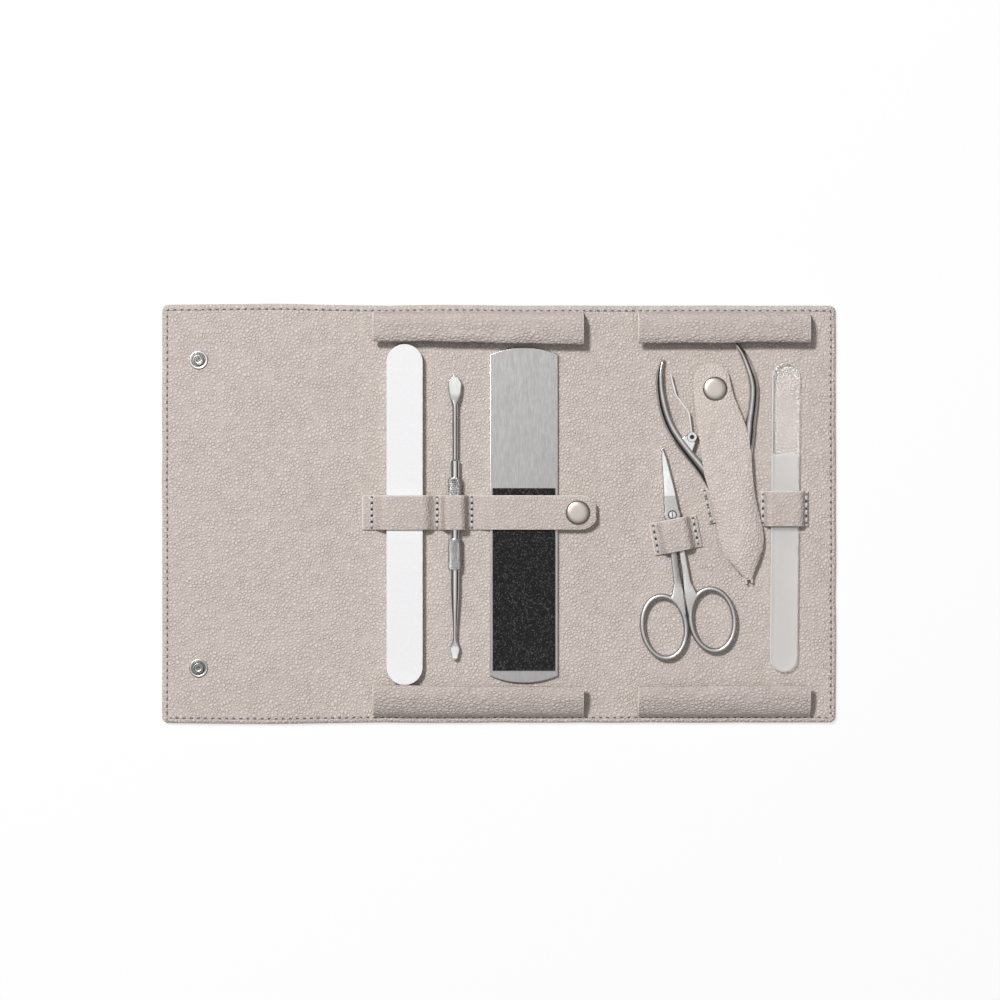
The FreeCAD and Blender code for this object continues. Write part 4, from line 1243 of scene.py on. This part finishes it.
def pusher_size(y, low, high):
    """Half width and half thickness of the cuticle pusher at a place along it."""
    marks = [(low, 0.2, 0.12), (low + 0.9, 1.3, 0.25), (low + 4.6, 2.1, 0.32), (low + 9.7, 0.8, 0.8),
             (-31.8, 1.95, 1.95), (-24.8, 1.95, 1.95), (-24.6, 2.6, 2.6), (-10.7, 2.6, 2.6),
             (-10.5, 1.85, 1.85), (2.0, 1.85, 1.85), (2.2, 2.6, 2.6), (16.1, 2.6, 2.6), (16.3, 1.95, 1.95),
             (23.4, 1.95, 1.95), (23.9, 1.2, 1.2), (high - 14.2, 1.2, 1.2), (high - 6.5, 2.8, 0.42),
             (high - 3.6, 3.0, 0.36), (high - 0.9, 1.8, 0.3), (high, 0.4, 0.2)]
    return between(marks, y)


def pusher():
    """Turned rod with two knurled grips, a spoon at one end and a small blade at the other."""
    axis_x = middle_of("cuticle_pusher")[0]
    axis_z = LINING_TOP + PUSHER_AXIS
    low, high = (corner[1] for corner in node_box("cuticle_pusher"))
    pitch = looks()[1].knurl_pitch / MM
    ys = spread((low, high, 0.8), (23.2, 24.1, 0.1), (low, low + 6, 0.25), (high - 6, high, 0.25),
                *((a - 0.3, b + 0.3, pitch / 5) for a, b in PUSHER_GRIPS))
    verts = []
    for y in ys:
        wide, thick = pusher_size(y, low, high)
        knurled = max(smooth(y, a, a + 0.5) * (1 - smooth(y, b - 0.5, b)) for a, b in PUSHER_GRIPS)
        flat = 0.45 + 0.55 * smooth(thick / wide, 0.3, 0.9)
        for k in range(PUSHER_SIDES):
            angle = 2 * math.pi * k / PUSHER_SIDES
            lines = 10 * angle
            wave = abs(math.sin(math.pi * y / pitch + lines)) + abs(math.sin(math.pi * y / pitch - lines))
            out = 1 + knurled * 0.16 * (wave - 1)
            rise = math.copysign(abs(math.sin(angle)) ** flat, math.sin(angle))
            verts.append((axis_x + wide * out * math.cos(angle), y, axis_z + thick * out * rise))
    gripped = [int(any(a < y < b for a, b in PUSHER_GRIPS)) for y in ys[:-1]]
    slots = [grip for grip in gripped for _ in range(PUSHER_SIDES)] + [0, 0]
    metals = [metal("polished_chrome"), metal("knurled_steel")]
    faces = tube(len(verts), PUSHER_SIDES)
    made = piece("pusher_rod", verts, faces, metals, face_materials=slots, sharp=60)
    settle(made, "pusher", ["cuticle_pusher"])


def foot_file():
    """Brushed steel plate with a pad of black grit."""
    low, high = node_box("foot_file_plate")
    metals = [metal("plate_rim"), metal("brushed_plate")]
    made = plate("foot_plate", rounded_bar(low, high, 3.2), low[2], high[2], 0.32, metals, top_slot=1)
    settle(made, "foot_file", ["foot_file_plate"])
    black = grit("black_grit", 2100.0, looks()[1].black_grit, (0.095, 0.095, 0.095), 0.58, (0.9, 0.0004),
                 specular_ior_level=0.25)
    low, high = node_box("foot_file_pad")
    outline = [(high[0], high[1]), (low[0], high[1]), (low[0], low[1]), (high[0], low[1])]
    made = plate("foot_pad", outline, low[2] - 0.02, high[2], 0.2, [black])
    settle(made, "foot_file", ["foot_file_pad"])


def glass_file():
    """Glass file: frosted blade with a clear handle and a ground rim."""
    low, high = node_box("glass_file")
    x, y, _ = middle_of("glass_file")
    place = turned((x, y, 0), tool_turn("glass_file_slide"))
    glasses = [glass("clear_glass", looks()[1].glass, 1.0, 0.03),
               glass("frosted_glass", (0.81, 0.815, 0.81), 0.72, 0.5),
               glass("ground_rim", (0.97, 0.975, 0.975), 0.45, 0.45)]
    half_width, half_length = GLASS_WIDTH / 2, GLASS_LENGTH / 2
    bar = rounded_bar((-half_width, -half_length), (half_width, half_length), half_width * 0.98)
    made = plate("glass_blade", [place(u, v, 0).xy for u, v in bar], low[2], high[2], 0.9, glasses)
    split = place(0, GLASS_FROST_END, 0).y * MM
    shape = bmesh.new()
    shape.from_mesh(made.data)
    cut_across(shape, place, GLASS_FROST_END)
    for face in shape.faces:
        below = face.calc_center_median().y < split
        bevelled = 0.2 < face.normal.z < 0.95
        face.material_index = 2 if bevelled else 1 if below else 0
    shape.to_mesh(made.data)
    shape.free()
    settle(made, "glass_file", ["glass_file"])


def forged(name, node, body, polish, swell):
    """A node's shape as a soft-edged forging; polish tests a face's centre, swell grows a point."""
    shape = frame_shape(node)
    mesh = bpy.data.meshes.new(name)
    shape.to_mesh(mesh)
    shape.free()
    raw = placed(name + "_raw", mesh)
    cell = raw.modifiers.new("cells", "REMESH")
    cell.mode = "VOXEL"
    cell.voxel_size = looks()[1].voxel
    soft = raw.modifiers.new("soft", "SMOOTH")
    soft.iterations = 3
    thin = raw.modifiers.new("thin", "DECIMATE")
    thin.ratio = 0.4
    graph = bpy.context.evaluated_depsgraph_get()
    final = bpy.data.meshes.new_from_object(raw.evaluated_get(graph))
    bpy.data.objects.remove(raw)
    final.materials.clear()
    for metal_name in ("satin_steel", "polished_blade"):
        final.materials.append(metal(metal_name))
    for face in final.polygons:
        face.material_index = int(polish(face.center / MM))
    grown = [v.co + v.normal * swell(v.co / MM) * MM for v in final.vertices]
    for vertex, place in zip(final.vertices, grown):
        vertex.co = place
    final.shade_smooth()
    settle(placed(name, final), body, [node])


def scissors():
    """Two forged halves and a slotted screw."""
    pivot = Vector(JOINTS["scissors_pivot"]["pos_m"]) / MM
    x, y, _ = JOINTS["scissors_slide"]["axis"]
    heading = Vector((x, y, 0))
    across = Vector((-y, x, 0))

    def swell(at):
        behind = -(at - pivot).dot(heading)
        shank = smooth(behind, 9, 13) * (1 - smooth(behind, 26, 34))
        gap = 0.38 * bell((at - pivot).dot(across), 0, 0.8) * shank
        return 0.22 * smooth(behind, 31, 37) - gap

    for name, node, body in (("scissors_lower", "scissors_lower_half", "scissors"),
                             ("scissors_top", "scissors_upper_half", "scissors_upper")):
        forged(name, node, body, lambda at: (at - pivot).dot(heading) > BLADE_START, swell)
    x, y, radius = middle_of("scissors_screw")
    top = node_box("scissors_screw")[1][2]
    head = [(radius, top - 1.2), (radius, top - 0.2), (radius * 0.78, top - 0.25),
            (radius * 0.74, top - 0.04), (radius * 0.6, top), (0.0, top)]
    # The head's side and outer groove are darkened in colour: painted shade.
    shade = metal("screw_shade")
    made = lathe("scissors_screw_head", head, [(x, y)], [metal("screw_steel"), shade], dark=(0, 1, 2))
    settle(made, "scissors", ["scissors_screw"])
    # The slot is a thin dark plate laid on the head: painted shade.
    corners = ((-0.22, -1.4), (0.22, -1.4), (0.22, 1.4), (-0.22, 1.4))
    slot = [(Vector((x, y, 0)) + heading * v + across * u).xy for u, v in corners]
    made = plate("scissors_screw_slot", slot, top - 0.3, top + 0.02, 0.01, [shade])
    settle(made, "scissors")


def handle(points, sizes, outward):
    """Forged handle: a ridge near its inner side and a long slope on its outer side."""
    path = smooth_path(points, 1.0)
    marks = walked_length(path)
    section = ((-1.0, 0.40), (-0.92, 0.56), (-0.45, 0.80), (-0.10, 0.96), (0.15, 1.0), (0.60, 1.0),
               (0.88, 0.90), (1.0, 0.62), (0.96, 0.15), (0.6, 0.0), (-0.5, 0.0), (-0.92, 0.12))
    verts = []
    for at, ahead, mark in zip(path, headings(path), marks):
        side = Vector((ahead.y, -ahead.x)) * outward
        half, low, high = between(sizes, mark / marks[-1])
        verts += [(*(at.xy + side * s * half), low + (high - low) * h) for s, h in section]
    return verts, tube(len(verts), len(section), outward > 0)


def nipper_half(name, node, body, points, outward):
    """Jaw and lap from the frame, with a smooth tapering handle."""
    place = holder_place()
    foot = LINING_TOP + 0.05
    top = node_box(node)[1][2]
    sizes = [(0.0, 3.0, foot, top - 0.3), (0.2, 2.7, foot, top - 0.1), (0.45, 2.25, foot, top),
             (0.7, 2.05, foot, top), (0.88, 1.7, foot + 0.3, top), (0.97, 1.0, foot + 0.8, top - 0.4),
             (1.0, 0.5, foot + 1.2, top - 0.9)]
    verts, faces = handle([place(u, v, 0) for u, v in points], sizes, outward)
    jaw = frame_shape(node)
    cut = cut_across(jaw, place, HANDLE_START, clear_outer=True)
    bmesh.ops.holes_fill(jaw, edges=[e for e in cut["geom_cut"] if isinstance(e, bmesh.types.BMEdge)])
    first = len(verts)
    jaw.verts.index_update()
    verts += [tuple(v.co / MM) for v in jaw.verts]
    faces += [tuple(first + v.index for v in face.verts) for face in jaw.faces]
    jaw.free()
    made = piece(name, verts, faces, [metal("nipper_steel")], sharp=42)
    settle(made, body, [node])


def nippers():
    """Two forged halves, pins, a leaf spring and the ear that holds it."""
    place = holder_place()
    left = [(-2.6, 4.0), (-5.0, 14.0), (-8.2, 23.5), (-11.1, 29.8), (-14.5, 36.3), (-17.5, 42.8),
            (-19.6, 48.5), (-20.8, 54.5), (-21.1, 61.3), (-20.6, 68.0), (-19.1, 74.4), (-16.6, 79.6)]
    right = [(2.6, 4.0), (5.0, 14.0), (9.0, 26.5), (13.2, 37.5), (15.1, 43.8), (17.4, 50.1), (19.3, 56.4),
             (19.9, 61.0), (19.5, 66.9), (18.2, 73.9), (15.6, 80.2)]
    nipper_half("nipper_left", "nipper_left_half", "nippers", left, 1)
    nipper_half("nipper_right_arm", "nipper_right_half", "nipper_right", right, -1)
    bright = metal("pin_steel")
    dress(bright, "nipper_pivot_pin", "nipper_spring")
    # The spring pin is darkened to stand for the shade in its hole: painted shade.
    dress(metal("dark_pin"), "nipper_spring_pin")
    x, y, _ = middle_of("nipper_spring_pin")
    top = node_box("nipper_left_half")[1][2]
    ear = [(2.3, LINING_TOP + 0.1), (2.3, top - 0.3), (2.05, top), (1.0, top), (0.85, top - 0.2),
           (0.8, top - 1.2), (0.0, top - 1.2)]
    settle(lathe("spring_ear", ear, [(x, y)], [bright]), "nippers")
    arm = [(-16.4, 43.4), (-12.9, 44.9), (-11.0, 43.0), (-10.4, 40.2), (-12.6, 36.6), (-14.6, 36.0)]
    outline = [place(u, v, 0).xy for u, v in arm]
    made = plate("spring_arm", outline, LINING_TOP + 0.4, top - 0.25, 0.5, [bright])
    settle(made, "nippers")


# Stage


def studio_floor():
    """White table top that keeps the case's shadow and stays white in the picture."""
    material, tree, shader = new_material(
        "table_white", base_color=(0.92, 0.92, 0.92, 1), roughness=1.0, specular_ior_level=0.0)
    glow = add(tree, "ShaderNodeEmission")
    path = add(tree, "ShaderNodeLightPath")
    seen = maths(tree, "ADD", path.outputs["Is Camera Ray"], path.outputs["Is Glossy Ray"])
    seen = maths(tree, "ADD", seen, path.outputs["Is Transmission Ray"], clamp=True)
    mix_shaders(tree, times(tree, seen, 0.72), shader, glow)
    signs = ((-1, -1), (1, -1), (1, 1), (-1, 1))
    corners = [(x * TABLE_HALF, y * TABLE_HALF, TABLE_DROP) for x, y in signs]
    return piece("table", corners, [(0, 1, 2, 3)], [material])


def soft_sky():
    """Soft light all round, brighter overhead than at the horizon."""
    world = bpy.data.worlds.new("studio")
    bpy.context.scene.world = world
    world.use_nodes = True
    tree = world.node_tree
    place = add(tree, "ShaderNodeTexCoord")
    split = add(tree, "ShaderNodeSeparateXYZ")
    tree.links.new(place.outputs["Generated"], split.inputs[0])
    glow = tree.nodes["Background"]
    glow.inputs["Color"].default_value = (1, 1, 1, 1)
    dome = ramp(tree, split.outputs["Z"], 0.30, 0.92, 0.04, 1.0)
    softbox = ramp(tree, split.outputs["Z"], 0.93, 0.985, 0.0, 1.2)
    wire(tree, times(tree, maths(tree, "ADD", dome, softbox), looks()[2].sky), glow.inputs["Strength"])


def key_light():
    """Square area light from the upper left, aimed at the middle of the case."""
    stage = looks()[2]
    rise = math.radians(stage.key_elevation)
    towards = Vector(KEY_SIDE) * math.cos(rise) + UP * math.sin(rise)
    data = bpy.data.lights.new("key", "AREA")
    data.size = KEY_SIZE
    data.energy = stage.key_watts
    made = placed("key", data)
    made.location = towards * KEY_DISTANCE
    made.rotation_euler = (-towards).to_track_quat("-Z", "Y").to_euler()
    return made


def build_stage():
    """Table, sky, one key light from the upper left and a camera straight above."""
    stage = looks()[2]
    soft_sky()
    data = bpy.data.cameras.new("above")
    data.lens = stage.lens
    camera = placed("above", data)
    camera.location = (*VIEW_CENTRE, LINING_TOP * MM + stage.view_width * stage.lens / data.sensor_width)
    bpy.context.scene.camera = camera
    bpy.context.scene.view_settings.view_transform = "Standard"
    studio_floor()
    key_light()


# Add-on


class BuildsPieces:
    """Runs an operator's builders in order"""

    def execute(self, context):
        for build in self.builders:
            build()
        return {"FINISHED"}


class CASE_OT_body(BuildsPieces, bpy.types.Operator):
    """Builds the case's leather skins and perimeter seam"""
    bl_idname = "manicure_case.body"
    bl_label = "Case body"
    builders = (build_case,)


class CASE_OT_end_flaps(BuildsPieces, bpy.types.Operator):
    """Builds the four end flaps"""
    bl_idname = "manicure_case.end_flaps"
    bl_label = "End flaps"
    builders = (build_end_flaps,)


class CASE_OT_straps(BuildsPieces, bpy.types.Operator):
    """Builds the file strap and the two holding loops"""
    bl_idname = "manicure_case.straps"
    bl_label = "Straps and loops"
    builders = (file_strap, holding_loops)


class CASE_OT_holder(BuildsPieces, bpy.types.Operator):
    """Builds the nipper holder"""
    bl_idname = "manicure_case.holder"
    bl_label = "Nipper holder"
    builders = (nipper_holder,)


class CASE_OT_snaps(BuildsPieces, bpy.types.Operator):
    """Builds the snaps and dresses their hidden parts"""
    bl_idname = "manicure_case.snaps"
    bl_label = "Snaps"
    builders = (build_snaps,)


class CASE_OT_files(BuildsPieces, bpy.types.Operator):
    """Builds the nail file, the foot file and the glass file"""
    bl_idname = "manicure_case.files"
    bl_label = "Files"
    builders = (nail_file, foot_file, glass_file)


class CASE_OT_pusher(BuildsPieces, bpy.types.Operator):
    """Builds the cuticle pusher"""
    bl_idname = "manicure_case.pusher"
    bl_label = "Cuticle pusher"
    builders = (pusher,)


class CASE_OT_scissors(BuildsPieces, bpy.types.Operator):
    """Builds the scissors"""
    bl_idname = "manicure_case.scissors"
    bl_label = "Scissors"
    builders = (scissors,)


class CASE_OT_nippers(BuildsPieces, bpy.types.Operator):
    """Builds the cuticle nippers"""
    bl_idname = "manicure_case.nippers"
    bl_label = "Nippers"
    builders = (nippers,)


class CASE_OT_stage(BuildsPieces, bpy.types.Operator):
    """Builds the table, the light and the camera"""
    bl_idname = "manicure_case.stage"
    bl_label = "Stage"
    builders = (build_stage,)


OPERATORS = (CASE_OT_body, CASE_OT_end_flaps, CASE_OT_straps, CASE_OT_holder, CASE_OT_snaps, CASE_OT_files,
             CASE_OT_pusher, CASE_OT_scissors, CASE_OT_nippers, CASE_OT_stage)
GROUPS = (("case_looks", CaseLooks), ("tool_looks", ToolLooks), ("stage_looks", StageLooks))


class CASE_PT_panel(bpy.types.Panel):
    """Lists the pieces of the manicure case"""
    bl_idname = "CASE_PT_panel"
    bl_label = "Manicure Case"
    bl_space_type = "VIEW_3D"
    bl_region_type = "UI"
    bl_category = "Manicure Case"

    def draw(self, context):
        for name, group in GROUPS:
            values = getattr(context.scene, name)
            for key in group.__annotations__:
                self.layout.prop(values, key)
        for operator in OPERATORS:
            self.layout.operator(operator.bl_idname)


def register():
    """Adds the value groups, the operators and the panel."""
    for name, group in GROUPS:
        bpy.utils.register_class(group)
        setattr(bpy.types.Scene, name, PointerProperty(type=group))
    for operator in OPERATORS:
        bpy.utils.register_class(operator)
    bpy.utils.register_class(CASE_PT_panel)


def unregister():
    """Takes them away again."""
    bpy.utils.unregister_class(CASE_PT_panel)
    for operator in reversed(OPERATORS):
        bpy.utils.unregister_class(operator)
    for name, group in reversed(GROUPS):
        delattr(bpy.types.Scene, name)
        bpy.utils.unregister_class(group)


def main():
    """Builds every piece in order."""
    register()
    for name in ("body", "end_flaps", "straps", "holder", "snaps", "files", "pusher", "scissors", "nippers",
                 "stage"):
        getattr(bpy.ops.manicure_case, name)()


if __name__ == "__main__":
    main()
